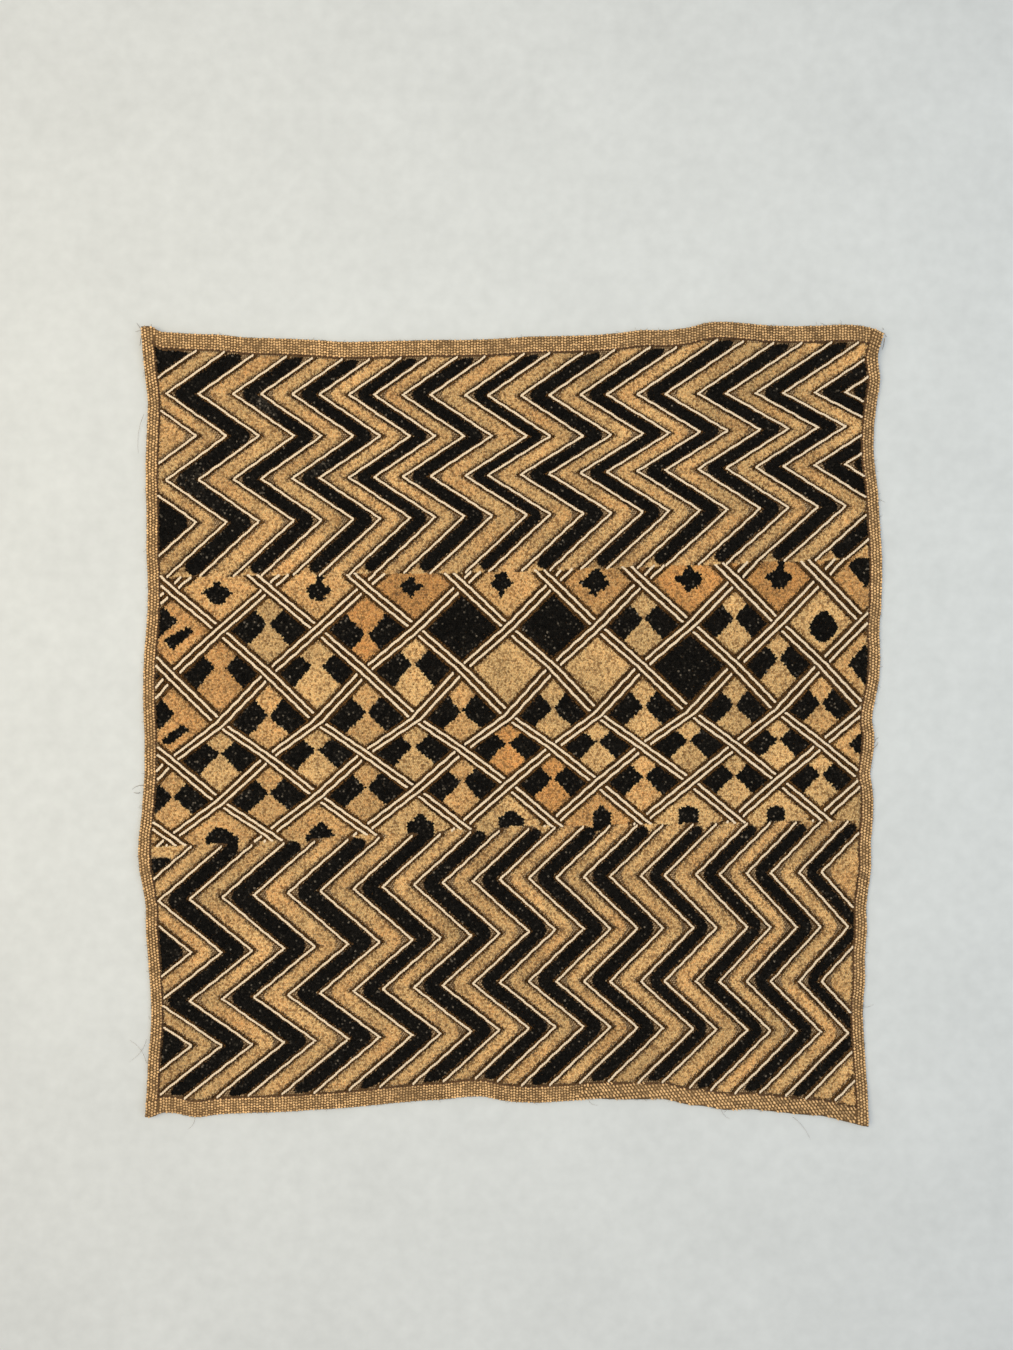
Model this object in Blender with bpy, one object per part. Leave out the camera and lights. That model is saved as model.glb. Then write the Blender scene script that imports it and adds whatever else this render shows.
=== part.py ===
"""Kuba raffia cloth: one flat cut-pile panel with turned hems, modelled as one solid.

Run with: blender --background --python part.py
Sizes below are millimetres and are turned into metres when the mesh is made.
+X points to the cloth's right, +Y to its top edge, +Z up from the floor.
The origin is on the floor, under the middle of the cloth's bounding box.
"""

import math

import bmesh
import bpy
import numpy as np
from mathutils import Vector
from mathutils.geometry import delaunay_2d_cdt

MM = 0.001
PART_NAME = "kuba_raffia_cloth"
NODE_NAME = "raffia_cloth"
CLOTH_COLOUR = (0.33, 0.20, 0.09, 1.0)
CLOTH_ROUGHNESS = 0.9

# Thicknesses of the plain ground, of the hem turned double, and of the cut pile's top
GROUND = 1.0
HEM_THICK = 2.2
PILE_TOP = 2.8

# The hems' widths and the length of the slope from the ground up to a hem or a pile
SIDE_HEM = 9.5
END_HEM = 13.0
SLOPE = 0.8

# Outline: each edge's course, uneven as the cloth is
# columns: y, x of the left edge, x of the right edge
SIDE_EDGES = (
    (300, -280, 284),
    (278, -279, 279),
    (262, -278, 281.5),
    (245, -276.5, 279.5),
    (227, -277, 277.5),
    (201, -278, 277.5),
    (180, -278, 280),
    (158, -277.5, 281.5),
    (130, -277.5, 282.5),
    (110, -276.5, 283),
    (92, -276.5, 283),
    (75, -277.5, 281.5),
    (49, -279.5, 282),
    (33, -280, 281),
    (20, -280, 278.5),
    (3, -279.5, 276),
    (-8, -279, 277.5),
    (-27, -279, 276),
    (-36, -279, 274.5),
    (-52, -280, 276.5),
    (-72, -281.5, 276.5),
    (-90, -283, 275),
    (-110, -282.5, 275),
    (-126, -280, 273),
    (-140, -278, 271.5),
    (-155, -278, 272),
    (-175, -276.5, 270.5),
    (-197, -275, 270.5),
    (-215, -274, 269),
    (-235, -274.5, 269.5),
    (-252, -276, 270.5),
    (-280, -277, 272),
    (-302, -278, 272),
)
# columns: x, y of the top edge, y of the bottom edge
END_EDGES = (
    (-280, 302, -298.5),
    (-271, 301.5, -298.5),
    (-266, 298.5, -296),
    (-258, 298, -296),
    (-240, 297.5, -299.5),
    (-222, 297, -297.5),
    (-203, 295, -296.5),
    (-172, 294, -295.5),
    (-150, 293, -294),
    (-126, 291.5, -292.5),
    (-100, 292, -290),
    (-80, 292.5, -288),
    (-55, 293, -286),
    (-35, 293, -283.5),
    (-20, 293.5, -283.5),
    (-8, 294, -286.5),
    (15, 295.5, -288.5),
    (40, 296, -287.5),
    (68, 297, -285.5),
    (80, 298, -286),
    (100, 300.5, -286),
    (118, 300.5, -286),
    (135, 302, -290),
    (150, 305.5, -291.5),
    (163, 306, -294),
    (180, 305, -293.5),
    (198, 304, -295),
    (220, 303.5, -297.5),
    (240, 304, -299),
    (252, 304, -301.5),
    (272, 301, -305.5),
    (284, 296, -305.5),
)
OUTLINE_STEP = 9.0

# The underside lies flat on the floor inside a square of this half size.
# From there to the rim it rises a little, and more at the places in the table
REST_HALF = 235.0
RIM_RISE = 1.2
RIM_REACH = 50.0
# columns: x, y, height of the lift, how far it reaches
LIFTS = (
    (-280, 299, 5.0, 62),
    (284, 299, 6.0, 66),
    (271, -305, 4.0, 55),
    (-277, -299, 3.0, 50),
    (-284, -96, 3.0, 45),
    (283, 125, 3.0, 47),
    (-35, -284, 3.0, 47),
    (160, 306, 3.5, 60),
)
LIFT_GRID = 13.0

# Chevron fields: zigzag lines that run down the cloth side by side.
# The first line's left tip, then the widths of the bands between the lines
UPPER_FIRST = -262.0
UPPER_BANDS = (24.5, 26.5, 21, 24, 20.5, 22.5, 19, 22, 21, 26.5, 17.5, 25,
               21.5, 24, 20, 23.5, 21, 25, 21.5, 22.5, 21, 24, 23)
LOWER_FIRST = -268.0
LOWER_BANDS = (23.5, 25, 24, 26, 24.5, 25.5, 22, 24, 22, 23, 20.5, 22,
               21, 21, 20, 23.5, 18, 24, 18, 20.5, 18.5, 21.5, 17)
# columns: share of the swing to the right, height at the cloth's left, middle and right
UPPER_ROWS = (
    (1.40, 297, 296, 297),
    (0.00, 252, 250.5, 253),
    (1.00, 220, 219.5, 229),
    (0.00, 186, 190, 198.5),
    (1.00, 154, 160.5, 168),
    (0.00, 112, 116, 126),
)
LOWER_ROWS = (
    (1.00, -93, -78, -73),
    (0.00, -134.5, -117.5, -112),
    (1.00, -174, -156, -154),
    (0.00, -212, -196, -196),
    (1.00, -245, -230, -236),
    (-0.50, -301.5, -289, -291.5),
)
# How far a line swings sideways, at the cloth's left, middle and right
UPPER_SWING = (45.5, 47.5, 47.5)
LOWER_SWING = (48, 42, 36.5)
FIELD_XS = (-262, 2, 266)
MORE_BAND = 23.0
BLACK_GAP = 1.9
TAN_GAP = 4.3
CHEVRON_SINE = 0.555

# Diamond lattice: crossing points of the double stitched bands
LATTICE_FIRST = -258.5
LATTICE_STEPS = (37, 37, 37.5, 36, 39, 35, 35.5, 34, 34, 34, 37, 34, 33, 33, 31.5)
MORE_STEP = 34.0
# Columns added on each side, so that bands which start beyond a side edge still cross the field
MORE_COLUMNS = 12
# columns: height of a row of crossings at the cloth's left, middle and right
LATTICE_ROWS = (
    (134, 140, 146),
    (102, 107, 112),
    (71, 73, 78),
    (36.5, 43, 46),
    (-1, 6, 11.5),
    (-28.5, -18, -15),
    (-62, -46, -42),
    (-87, -76, -70),
    (-116, -106, -98),
)
LATTICE_GAP = 7.0
LATTICE_SINE = 0.66

# Pieces of a stitched line end this far inside the field, so that they never cut the hem
LINE_MARGIN = 0.2
# Points closer than this are one point in the triangulation, and in the finished solid
MERGE = 0.05
WELD = 0.01


def smooth(x, xs, ys):
    """Value at x of a curve through the table's points, without corners."""
    xs = np.asarray(xs, float)
    ys = np.asarray(ys, float)
    slopes = np.gradient(ys, xs)
    x = np.clip(x, xs[0], xs[-1])
    i = np.clip(np.searchsorted(xs, x) - 1, 0, len(xs) - 2)
    h = xs[i + 1] - xs[i]
    t = (x - xs[i]) / h
    start = (1 + 2 * t) * (1 - t) ** 2 * ys[i] + t * (1 - t) ** 2 * h * slopes[i]
    end = t * t * (3 - 2 * t) * ys[i + 1] + t * t * (t - 1) * h * slopes[i + 1]
    return start + end


def left_x(y):
    rows = SIDE_EDGES[::-1]
    return smooth(y, [r[0] for r in rows], [r[1] for r in rows])


def right_x(y):
    rows = SIDE_EDGES[::-1]
    return smooth(y, [r[0] for r in rows], [r[2] for r in rows])


def top_y(x):
    return smooth(x, [r[0] for r in END_EDGES], [r[1] for r in END_EDGES])


def bottom_y(x):
    return smooth(x, [r[0] for r in END_EDGES], [r[2] for r in END_EDGES])


def rim(side, end):
    """Closed loop of points that lies side and end millimetres inside the cloth's edges."""
    left, right = SIDE_EDGES[0][1] + side, SIDE_EDGES[0][2] - side
    foot_left, foot_right = SIDE_EDGES[-1][1] + side, SIDE_EDGES[-1][2] - side
    top, bottom = float(top_y(left)) - end, float(bottom_y(foot_left)) + end
    top_right, bottom_right = float(top_y(right)) - end, float(bottom_y(foot_right)) + end
    points = []
    for x in np.linspace(left, right, round((right - left) / OUTLINE_STEP), endpoint=False):
        points.append((float(x), float(top_y(x)) - end))
    for y in np.linspace(top_right, bottom_right, round((top - bottom) / OUTLINE_STEP), endpoint=False):
        points.append((float(right_x(y)) - side, float(y)))
    for x in np.linspace(foot_right, foot_left, round((right - left) / OUTLINE_STEP), endpoint=False):
        points.append((float(x), float(bottom_y(x)) + end))
    for y in np.linspace(bottom, top, round((top - bottom) / OUTLINE_STEP), endpoint=False):
        points.append((float(left_x(y)) + side, float(y)))
    return points[::-1]


def inset(x, y):
    """Distance from a point to the nearest hem's inner edge, above zero in the field."""
    from_sides = np.minimum(x - left_x(y), right_x(y) - x) - SIDE_HEM
    from_ends = np.minimum(top_y(x) - y, y - bottom_y(x)) - END_HEM
    return np.minimum(from_sides, from_ends)


def beyond_rest(x, y):
    """Distance from a point to the square that lies flat on the floor."""
    return np.hypot(np.maximum(np.abs(x) - REST_HALF, 0), np.maximum(np.abs(y) - REST_HALF, 0))


def lift(x, y):
    """Height of the cloth's underside above the floor."""
    height = RIM_RISE * np.clip(beyond_rest(x, y) / RIM_REACH, 0, 1)
    for cx, cy, rise, reach in LIFTS:
        near = np.clip(np.hypot(x - cx, y - cy) / reach, 0, 1)
        height = np.maximum(height, rise * 0.5 * (1 + np.cos(math.pi * near)))
    return height


def zigzags(first, bands, rows, swing):
    """The lines of a chevron field from left to right, each a list of (x, y) from the top down."""
    tips = [first - 2 * MORE_BAND, first - MORE_BAND]
    tips += list(first + np.cumsum([0] + list(bands)))
    tips += [tips[-1] + MORE_BAND, tips[-1] + 2 * MORE_BAND]
    lines = []
    for tip in tips:
        reach = float(np.interp(tip, FIELD_XS, swing))
        lines.append([(tip + share * reach, float(np.interp(tip, FIELD_XS, heights)))
                      for share, *heights in rows])
    return lines


def lattice_chains():
    """The lattice's falling and rising bands, each a list of (x, y) from the top down."""
    columns = [LATTICE_FIRST - n * MORE_STEP for n in range(MORE_COLUMNS, 0, -1)]
    columns += list(LATTICE_FIRST + np.cumsum([0] + list(LATTICE_STEPS)))
    columns += [columns[-1] + n * MORE_STEP for n in range(1, MORE_COLUMNS + 1)]
    first = (MORE_COLUMNS + 1) % 2
    span = len(LATTICE_ROWS) - 1
    chains = {1: [], -1: []}
    for way, chain_list in chains.items():
        for start in range(first, len(columns), 2):
            if not 0 <= start + way * span < len(columns):
                continue
            chain = []
            for k, heights in enumerate(LATTICE_ROWS):
                x = float(columns[start + way * k])
                chain.append((x, float(np.interp(x, FIELD_XS, heights))))
            chain_list.append(chain)
    return chains


UPPER = zigzags(UPPER_FIRST, UPPER_BANDS, UPPER_ROWS, UPPER_SWING)
LOWER = zigzags(LOWER_FIRST, LOWER_BANDS, LOWER_ROWS, LOWER_SWING)
LATTICE = lattice_chains()


def upper_end(x):
    """Height at which the upper chevrons stop and the lattice starts."""
    return np.interp(x, FIELD_XS, UPPER_ROWS[-1][1:])


def lower_end(x):
    """Height at which the lattice stops and the lower chevrons start."""
    return np.interp(x, FIELD_XS, LOWER_ROWS[0][1:])


def line_x(line, y):
    points = line[::-1]
    return np.interp(y, [p[1] for p in points], [p[0] for p in points])


def chevron_depth(lines, x, y):
    """Distance from a point into the pile band that it is in, below zero beside the pile."""
    xs = np.array([line_x(line, y) for line in lines])
    band = np.clip((xs < x).sum(axis=0) - 1, 0, len(lines) - 2)
    at = np.arange(len(x))
    gap = np.where(band % 2 == 0, BLACK_GAP, TAN_GAP)
    return (np.minimum(x - xs[band, at], xs[band + 1, at] - x) - gap) * CHEVRON_SINE


def lattice_depth(x, y):
    """Distance from a point into the diamond that it is in, below zero in a stitched band."""
    nearest = [np.abs(np.array([line_x(chain, y) for chain in chain_list]) - x).min(axis=0)
               for chain_list in LATTICE.values()]
    return (np.minimum(*nearest) - LATTICE_GAP) * LATTICE_SINE


def thickness(x, y):
    """Thickness of the cloth: hem, ground or pile, with a short slope between them."""
    edge = inset(x, y)
    upper = chevron_depth(UPPER, x, y)
    lower = chevron_depth(LOWER, x, y)
    lattice = lattice_depth(x, y)
    above, below = y - upper_end(x), y - lower_end(x)
    depth = np.where(above > MERGE, upper, np.where(below < -MERGE, lower, lattice))
    depth = np.where(np.abs(above) <= MERGE, np.minimum(upper, lattice), depth)
    depth = np.where(np.abs(below) <= MERGE, np.minimum(lower, lattice), depth)
    pile = np.clip(np.minimum(depth, edge) / SLOPE, 0, 1)
    hem = np.clip(-edge / SLOPE, 0, 1)
    return GROUND + pile * (PILE_TOP - GROUND) + hem * (HEM_THICK - GROUND)


def shifted(line, by):
    return [(x + by, y) for x, y in line]


def cut(line, inside):
    """Pieces of a line where inside(x, y) is above zero."""
    pieces, piece = [], []
    for start, end in zip(line, line[1:]):
        f0, f1 = inside(*start), inside(*end)
        if max(f0, f1) <= 0:
            continue
        t0 = 0.0 if f0 > 0 else f0 / (f0 - f1)
        t1 = 1.0 if f1 > 0 else f0 / (f0 - f1)
        ends = [tuple(a + (b - a) * t for a, b in zip(start, end)) for t in (t0, t1)]
        if not piece or math.dist(piece[-1], ends[0]) > MERGE:
            piece = [ends[0]]
            pieces.append(piece)
        piece.append(ends[1])
    return pieces


def field_inset(x, y):
    return float(inset(x, y)) - LINE_MARGIN


def relief_lines():
    """The foot and the top line of every pile's slope, cut to the field."""
    lines = []
    for zigzag_list in (UPPER, LOWER):
        for n, line in enumerate(zigzag_list):
            right_gap, left_gap = (BLACK_GAP, TAN_GAP) if n % 2 == 0 else (TAN_GAP, BLACK_GAP)
            for gap in (right_gap, right_gap + SLOPE / CHEVRON_SINE):
                lines += cut(shifted(line, gap), field_inset)
            for gap in (left_gap, left_gap + SLOPE / CHEVRON_SINE):
                lines += cut(shifted(line, -gap), field_inset)
    for chain_list in LATTICE.values():
        for chain in chain_list:
            for gap in (LATTICE_GAP, LATTICE_GAP + SLOPE / LATTICE_SINE):
                for side in (-gap, gap):
                    lines += cut(shifted(chain, side), lattice_inset)
    for end in (upper_end, lower_end):
        xs = (SIDE_EDGES[0][1],) + FIELD_XS + (SIDE_EDGES[0][2],)
        lines += cut([(x, float(end(x))) for x in xs], field_inset)
    return lines


def lattice_inset(x, y):
    return min(field_inset(x, y), float(upper_end(x)) - y, y - float(lower_end(x)))


def triangulated(rim_points, lines, points=()):
    """Triangles inside a rim that keep to the given lines and points."""
    verts = [Vector(p) for p in rim_points]
    edges = []
    for line in lines:
        first = len(verts)
        verts += [Vector(p) for p in line]
        edges += [(first + n, first + n + 1) for n in range(len(line) - 1)]
    verts += [Vector(p) for p in points]
    result = delaunay_2d_cdt(verts, edges, [list(range(len(rim_points)))], 1, MERGE)
    return np.array([tuple(v) for v in result[0]]), result[2]


def sheet_mesh(name, flat, heights, faces):
    mesh = bpy.data.meshes.new(name)
    corners = np.column_stack([flat, heights]) * MM
    mesh.from_pydata(corners.tolist(), [], faces)
    return mesh


def boundary_loop(bm):
    """The rim's vertices in order around the sheet."""
    edges = [e for e in bm.edges if e.is_boundary]
    at = edges[0].verts[0]
    used, loop = set(), []
    while len(loop) < len(edges):
        edge = next(e for e in at.link_edges if e.is_boundary and e not in used)
        used.add(edge)
        loop.append(at)
        at = edge.other_vert(at)
    return loop


def make_cloth(collection):
    hem_inner, field_edge = rim(SIDE_HEM, END_HEM), rim(SIDE_HEM + SLOPE, END_HEM + SLOPE)
    hem_top = rim(SIDE_HEM - SLOPE, END_HEM - SLOPE)
    rings = [ring + ring[:1] for ring in (hem_top, hem_inner, field_edge)]
    flat, faces = triangulated(rim(0, 0), rings + relief_lines())
    height = lift(flat[:, 0], flat[:, 1]) + thickness(flat[:, 0], flat[:, 1])
    bm = bmesh.new()
    bm.from_mesh(sheet_mesh("cloth_top", flat, height, faces))

    loop = [(v.co.x / MM, v.co.y / MM) for v in boundary_loop(bm)]
    area = sum(a[0] * b[1] - b[0] * a[1] for a, b in zip(loop, loop[1:] + loop[:1]))
    loop = loop if area > 0 else loop[::-1]
    rim_edges = [e for e in bm.edges if e.is_boundary]
    skirt = bmesh.ops.extrude_edge_only(bm, edges=rim_edges)["geom"]
    for vert in (g for g in skirt if isinstance(g, bmesh.types.BMVert)):
        vert.co.z = float(lift(vert.co.x / MM, vert.co.y / MM)) * MM

    xs = np.arange(END_EDGES[0][0], END_EDGES[-1][0], LIFT_GRID)
    ys = np.arange(SIDE_EDGES[-1][0], SIDE_EDGES[0][0], LIFT_GRID)
    grid = [(float(x), float(y)) for x in xs for y in ys
            if inset(x, y) > LIFT_GRID / 2 - SIDE_HEM and beyond_rest(x, y) > LIFT_GRID / 3]
    square = [(-REST_HALF, -REST_HALF), (REST_HALF, -REST_HALF), (REST_HALF, REST_HALF), (-REST_HALF, REST_HALF)]
    under, under_faces = triangulated(loop, [square + square[:1]], grid)
    under_height = lift(under[:, 0], under[:, 1])
    bm.from_mesh(sheet_mesh("cloth_under", under, under_height, under_faces))
    bmesh.ops.remove_doubles(bm, verts=bm.verts, dist=WELD * MM)
    bmesh.ops.recalc_face_normals(bm, faces=bm.faces)

    mesh = bpy.data.meshes.new(NODE_NAME)
    bm.to_mesh(mesh)
    bm.free()
    cloth = bpy.data.objects.new(NODE_NAME, mesh)
    collection.objects.link(cloth)
    cloth.data.materials.append(make_material())
    return cloth


def make_material():
    material = bpy.data.materials.new("raffia")
    material.use_nodes = True
    shader = material.node_tree.nodes["Principled BSDF"]
    shader.inputs["Base Color"].default_value = CLOTH_COLOUR
    shader.inputs["Roughness"].default_value = CLOTH_ROUGHNESS
    shader.inputs["Metallic"].default_value = 0.0
    material.diffuse_color = CLOTH_COLOUR
    return material


def main():
    for old in list(bpy.data.objects):
        bpy.data.objects.remove(old, do_unlink=True)
    collection = bpy.data.collections.new(PART_NAME)
    bpy.context.scene.collection.children.link(collection)
    cloth = make_cloth(collection)
    corners = np.array([tuple(v.co) for v in cloth.data.vertices])
    middle = (corners.min(axis=0) + corners.max(axis=0)) / 2
    for vert in cloth.data.vertices:
        vert.co.x -= middle[0]
        vert.co.y -= middle[1]
    cloth.data.update()


main()
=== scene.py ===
"""Kuba raffia cloth: a cut-pile panel with turned hems, lying flat on a pale floor.

The file is laid out as a Blender add-on and is run as a script. The tables hold millimetres from the
middle of the cloth, +X to its right and +Y to its top edge, and points turn into metres when a mesh is made.
"""

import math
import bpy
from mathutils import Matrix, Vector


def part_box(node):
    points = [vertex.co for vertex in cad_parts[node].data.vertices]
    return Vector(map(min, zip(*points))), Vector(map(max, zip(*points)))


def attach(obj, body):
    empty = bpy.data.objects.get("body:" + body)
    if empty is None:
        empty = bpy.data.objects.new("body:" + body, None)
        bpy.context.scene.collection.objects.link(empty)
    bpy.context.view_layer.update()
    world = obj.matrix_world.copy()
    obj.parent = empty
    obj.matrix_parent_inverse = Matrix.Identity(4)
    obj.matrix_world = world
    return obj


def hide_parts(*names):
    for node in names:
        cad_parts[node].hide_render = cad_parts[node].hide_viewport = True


bl_info = {
    "name": "Kuba raffia cloth",
    "version": (1, 0, 0),
    "blender": (4, 5, 0),
    "location": "3D View > Sidebar > Kuba cloth",
    "description": "Makes a cut-pile raffia panel with its hems, stitched lines and loose ends",
    "category": "Add Mesh",
}

import bpy
import numpy as np
from bpy.props import FloatProperty, FloatVectorProperty, PointerProperty
from mathutils import Vector

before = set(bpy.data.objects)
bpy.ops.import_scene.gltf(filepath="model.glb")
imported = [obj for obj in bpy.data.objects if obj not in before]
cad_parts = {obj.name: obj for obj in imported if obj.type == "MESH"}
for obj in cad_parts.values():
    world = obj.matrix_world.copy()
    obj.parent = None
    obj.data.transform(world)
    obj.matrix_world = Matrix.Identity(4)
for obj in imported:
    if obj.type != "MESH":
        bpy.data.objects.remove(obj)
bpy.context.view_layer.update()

MM = 0.001
CLOTH_NODE = "raffia_cloth"
BODY = "root"
SEED = 1907

# Outline: each edge's course, uneven as the cloth is
# columns: y, x of the left edge, x of the right edge
SIDE_EDGES = (
    (300, -280, 284),
    (278, -279, 279),
    (262, -278, 281.5),
    (245, -276.5, 279.5),
    (227, -277, 277.5),
    (201, -278, 277.5),
    (180, -278, 280),
    (158, -277.5, 281.5),
    (130, -277.5, 282.5),
    (110, -276.5, 283),
    (92, -276.5, 283),
    (75, -277.5, 281.5),
    (49, -279.5, 282),
    (33, -280, 281),
    (20, -280, 278.5),
    (3, -279.5, 276),
    (-8, -279, 277.5),
    (-27, -279, 276),
    (-36, -279, 274.5),
    (-52, -280, 276.5),
    (-72, -281.5, 276.5),
    (-90, -283, 275),
    (-110, -282.5, 275),
    (-126, -280, 273),
    (-140, -278, 271.5),
    (-155, -278, 272),
    (-175, -276.5, 270.5),
    (-197, -275, 270.5),
    (-215, -274, 269),
    (-235, -274.5, 269.5),
    (-252, -276, 270.5),
    (-280, -277, 272),
    (-302, -278, 272),
)
# columns: x, y of the top edge, y of the bottom edge
END_EDGES = (
    (-280, 302, -298.5),
    (-271, 301.5, -298.5),
    (-266, 298.5, -296),
    (-258, 298, -296),
    (-240, 297.5, -299.5),
    (-222, 297, -297.5),
    (-203, 295, -296.5),
    (-172, 294, -295.5),
    (-150, 293, -294),
    (-126, 291.5, -292.5),
    (-100, 292, -290),
    (-80, 292.5, -288),
    (-55, 293, -286),
    (-35, 293, -283.5),
    (-20, 293.5, -283.5),
    (-8, 294, -286.5),
    (15, 295.5, -288.5),
    (40, 296, -287.5),
    (68, 297, -285.5),
    (80, 298, -286),
    (100, 300.5, -286),
    (118, 300.5, -286),
    (135, 302, -290),
    (150, 305.5, -291.5),
    (163, 306, -294),
    (180, 305, -293.5),
    (198, 304, -295),
    (220, 303.5, -297.5),
    (240, 304, -299),
    (252, 304, -301.5),
    (272, 301, -305.5),
    (284, 296, -305.5),
)
# Widths of the hems
SIDE_HEM = 9.5
END_HEM = 13.0
# How far the edges reach in all
LEFT_MOST = min(left for y, left, right in SIDE_EDGES)
RIGHT_MOST = max(right for y, left, right in SIDE_EDGES)
TOP_MOST = max(top for x, top, bottom in END_EDGES)
BOTTOM_MOST = min(bottom for x, top, bottom in END_EDGES)
# From this x on, the rows of the bottom hem's weave run down to the right at this angle
HEM_SLANT_FROM = 45.0
HEM_SLANT = -0.9
# That place is measured at this height, and moves sideways by this share of the height above it
HEM_SLANT_AT = -290.0
HEM_SLANT_LEAN = 0.9

# The underside lies flat inside a square of this half size. Beyond it the cloth rises
# a little to its rim, and more at the places in the table
REST_HALF = 235.0
RIM_RISE = 1.2
RIM_REACH = 50.0
# columns: x, y, height of the lift, how far it reaches
LIFTS = (
    (-280, 299, 5.0, 62),
    (284, 299, 6.0, 66),
    (271, -305, 4.0, 55),
    (-277, -299, 3.0, 50),
    (-284, -96, 3.0, 45),
    (283, 125, 3.0, 47),
    (-35, -284, 3.0, 47),
    (160, 306, 3.5, 60),
)

# Chevron fields: the first line's left tip, then the widths of the bands between the lines
UPPER_FIRST = -262.0
UPPER_BANDS = (24.5, 26.5, 21, 24, 20.5, 22.5, 19, 22, 21, 26.5, 17.5, 25,
               21.5, 24, 20, 23.5, 21, 25, 21.5, 22.5, 21, 24, 23)
LOWER_FIRST = -268.0
LOWER_BANDS = (23.5, 25, 24, 26, 24.5, 25.5, 22, 24, 22, 23, 20.5, 22,
               21, 21, 20, 23.5, 18, 24, 18, 20.5, 18.5, 21.5, 17)
# columns: share of the swing to the right, height at the cloth's left, middle and right
UPPER_ROWS = (
    (1.40, 297, 296, 297),
    (0.00, 252, 250.5, 253),
    (1.00, 220, 219.5, 229),
    (0.00, 186, 190, 198.5),
    (1.00, 154, 160.5, 168),
    (0.00, 112, 116, 126),
)
LOWER_ROWS = (
    (1.00, -93, -78, -73),
    (0.00, -134.5, -117.5, -112),
    (1.00, -174, -156, -154),
    (0.00, -212, -196, -196),
    (1.00, -245, -230, -236),
    (-0.50, -301.5, -289, -291.5),
)
# How far a line swings sideways, at the cloth's left, middle and right
UPPER_SWING = (45.5, 47.5, 47.5)
LOWER_SWING = (48, 42, 36.5)
# The x of the tables' left, middle and right
FIELD_XS = (-262, 2, 266)
# Two bands of this width are added on each side of the table's
MORE_BAND = 23.0
# The distance across a slanting line as a share of that along a row
CHEVRON_SINE = 0.555
# Farther off than any point of the cloth
FAR = 1000.0
# The pile rounds the outer side of each turn, while the stitched lines come to a point
CORNER_RADIUS = 7.0
# A black band ends this far from the lattice, rounded, and tan pile goes round its end
END_GAP = 3.0
END_RADIUS = 3.5
# A tan band is rounded less where it meets an end hem
TAN_END_RADIUS = 1.5
# How far from its middle a black band's end reaches along a row, and how slanted its square cut is
BAND_REACH = 11.0
SQUARE_CUT = 0.5
# Bare ground between the pile and an end hem, and how far a black band's corner may stay off it
HEM_GAP_BLACK = 0.5
HEM_GAP_TAN = 0.2
HEM_CUT = 6.5
# The short lines in the bottom right corner start below this height, and come after this line
CORNER_LINES_BELOW = -240.0
LAST_LINE = 25
# The left edge of the upper field is tan between these heights, and black beyond them
LEFT_TAN = (186, 262)

# Diamond lattice: crossing points of the double stitched bands
LATTICE_FIRST = -258.5
LATTICE_STEPS = (37, 37, 37.5, 36, 39, 35, 35.5, 34, 34, 34, 37, 34, 33, 33, 31.5)
# Columns added on each side, so that bands which start beyond a side edge still cross the field
MORE_STEP = 34.0
MORE_COLUMNS = 12
# columns: height of a row of crossings at the cloth's left, middle and right
LATTICE_ROWS = (
    (134, 140, 146),
    (102, 107, 112),
    (71, 73, 78),
    (36.5, 43, 46),
    (-1, 6, 11.5),
    (-28.5, -18, -15),
    (-62, -46, -42),
    (-87, -76, -70),
    (-116, -106, -98),
)
# The distance across a lattice band as a share of that along a row
LATTICE_SINE = 0.66
# Half the width of a band, straight across, where no pile is worked
BAND_HALF = 5.3
# The lines of a lattice band, as distances from its middle measured along a row
BAND_BROWN = 7.3
BAND_CREAM = 3.6
BAND_MIDDLE = 0.7
# A band that passes under another stops this far from its middle, measured along a row
UNDER_STOPS = 8.0

# What is worked in each diamond, row by row from the top left:
# s star, h two blocks and two diamonds, w the same with a wide waist, b black, t tan,
# k the same upside down, d small diamond, c left half diamond, e right half diamond, u tree
DIAMONDS = (
    "ssssssse",
    "chkbbhhd",
    "wwhttbhe",
    "chhhhhhh",
    "hhhhhhhe",
    "hhhhhhhh",
    "uuuuuuut",
)
# How orange the tan of each diamond is, from 0 to 3
ORANGE = (
    "11312332",
    "20300000",
    "20000001",
    "21110001",
    "00030001",
    "11113100",
    "11002000",
)
# columns: x and y of a star's middle, its half width and half height, half width of its neck
STARS = (
    (-223.3, 99.1, 11.4, 10.0, 0),
    (-146.3, 101.7, 10.0, 9.6, 2.4),
    (-76.2, 105.0, 8.6, 8.4, 0),
    (-6.9, 108.0, 8.4, 10.0, 0),
    (64.8, 108.2, 11.4, 10.4, 2.2),
    (137.2, 110.5, 11.4, 10.4, 0),
    (205.0, 111.3, 10.4, 10.0, 2.4),
)
NECK_LENGTH = 19.0
# Black shapes inside a diamond, in shares of its width and height from its middle, right and up
# letter: height of the waist, how fast the tan widens from it, its half width there
BLOCKS = {"h": (0.148, 0.82, 0.02), "w": (0.148, 0.88, 0.105), "k": (-0.125, 0.82, 0.02)}
# columns: place to the right, half width, place upwards, half height
SMALL_DIAMOND = (0.06, 0.34, -0.11, 0.37)
# half width and half height of the right half diamonds' block, and how much higher the top one sits
RIGHT_BLOCK = (0.38, 0.47)
TOP_BLOCK_UP = 0.25
# The left half diamonds, in shares of the way across from one band to the next:
# columns: the bar's low edge, how much that climbs along it, its high edge, its start and its end,
# and how far the corner's block reaches one way and the other
LEFT_HALF = (0.42, 0.25, 0.72, 0.29, 0.70, 0.43, 0.68)
LOWER_LEFT_HALF = (0.59, 0.0, 0.74, 0.17, 0.61, 0.40, 0.63)
LOWER_LEFT_ROW = 3
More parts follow.
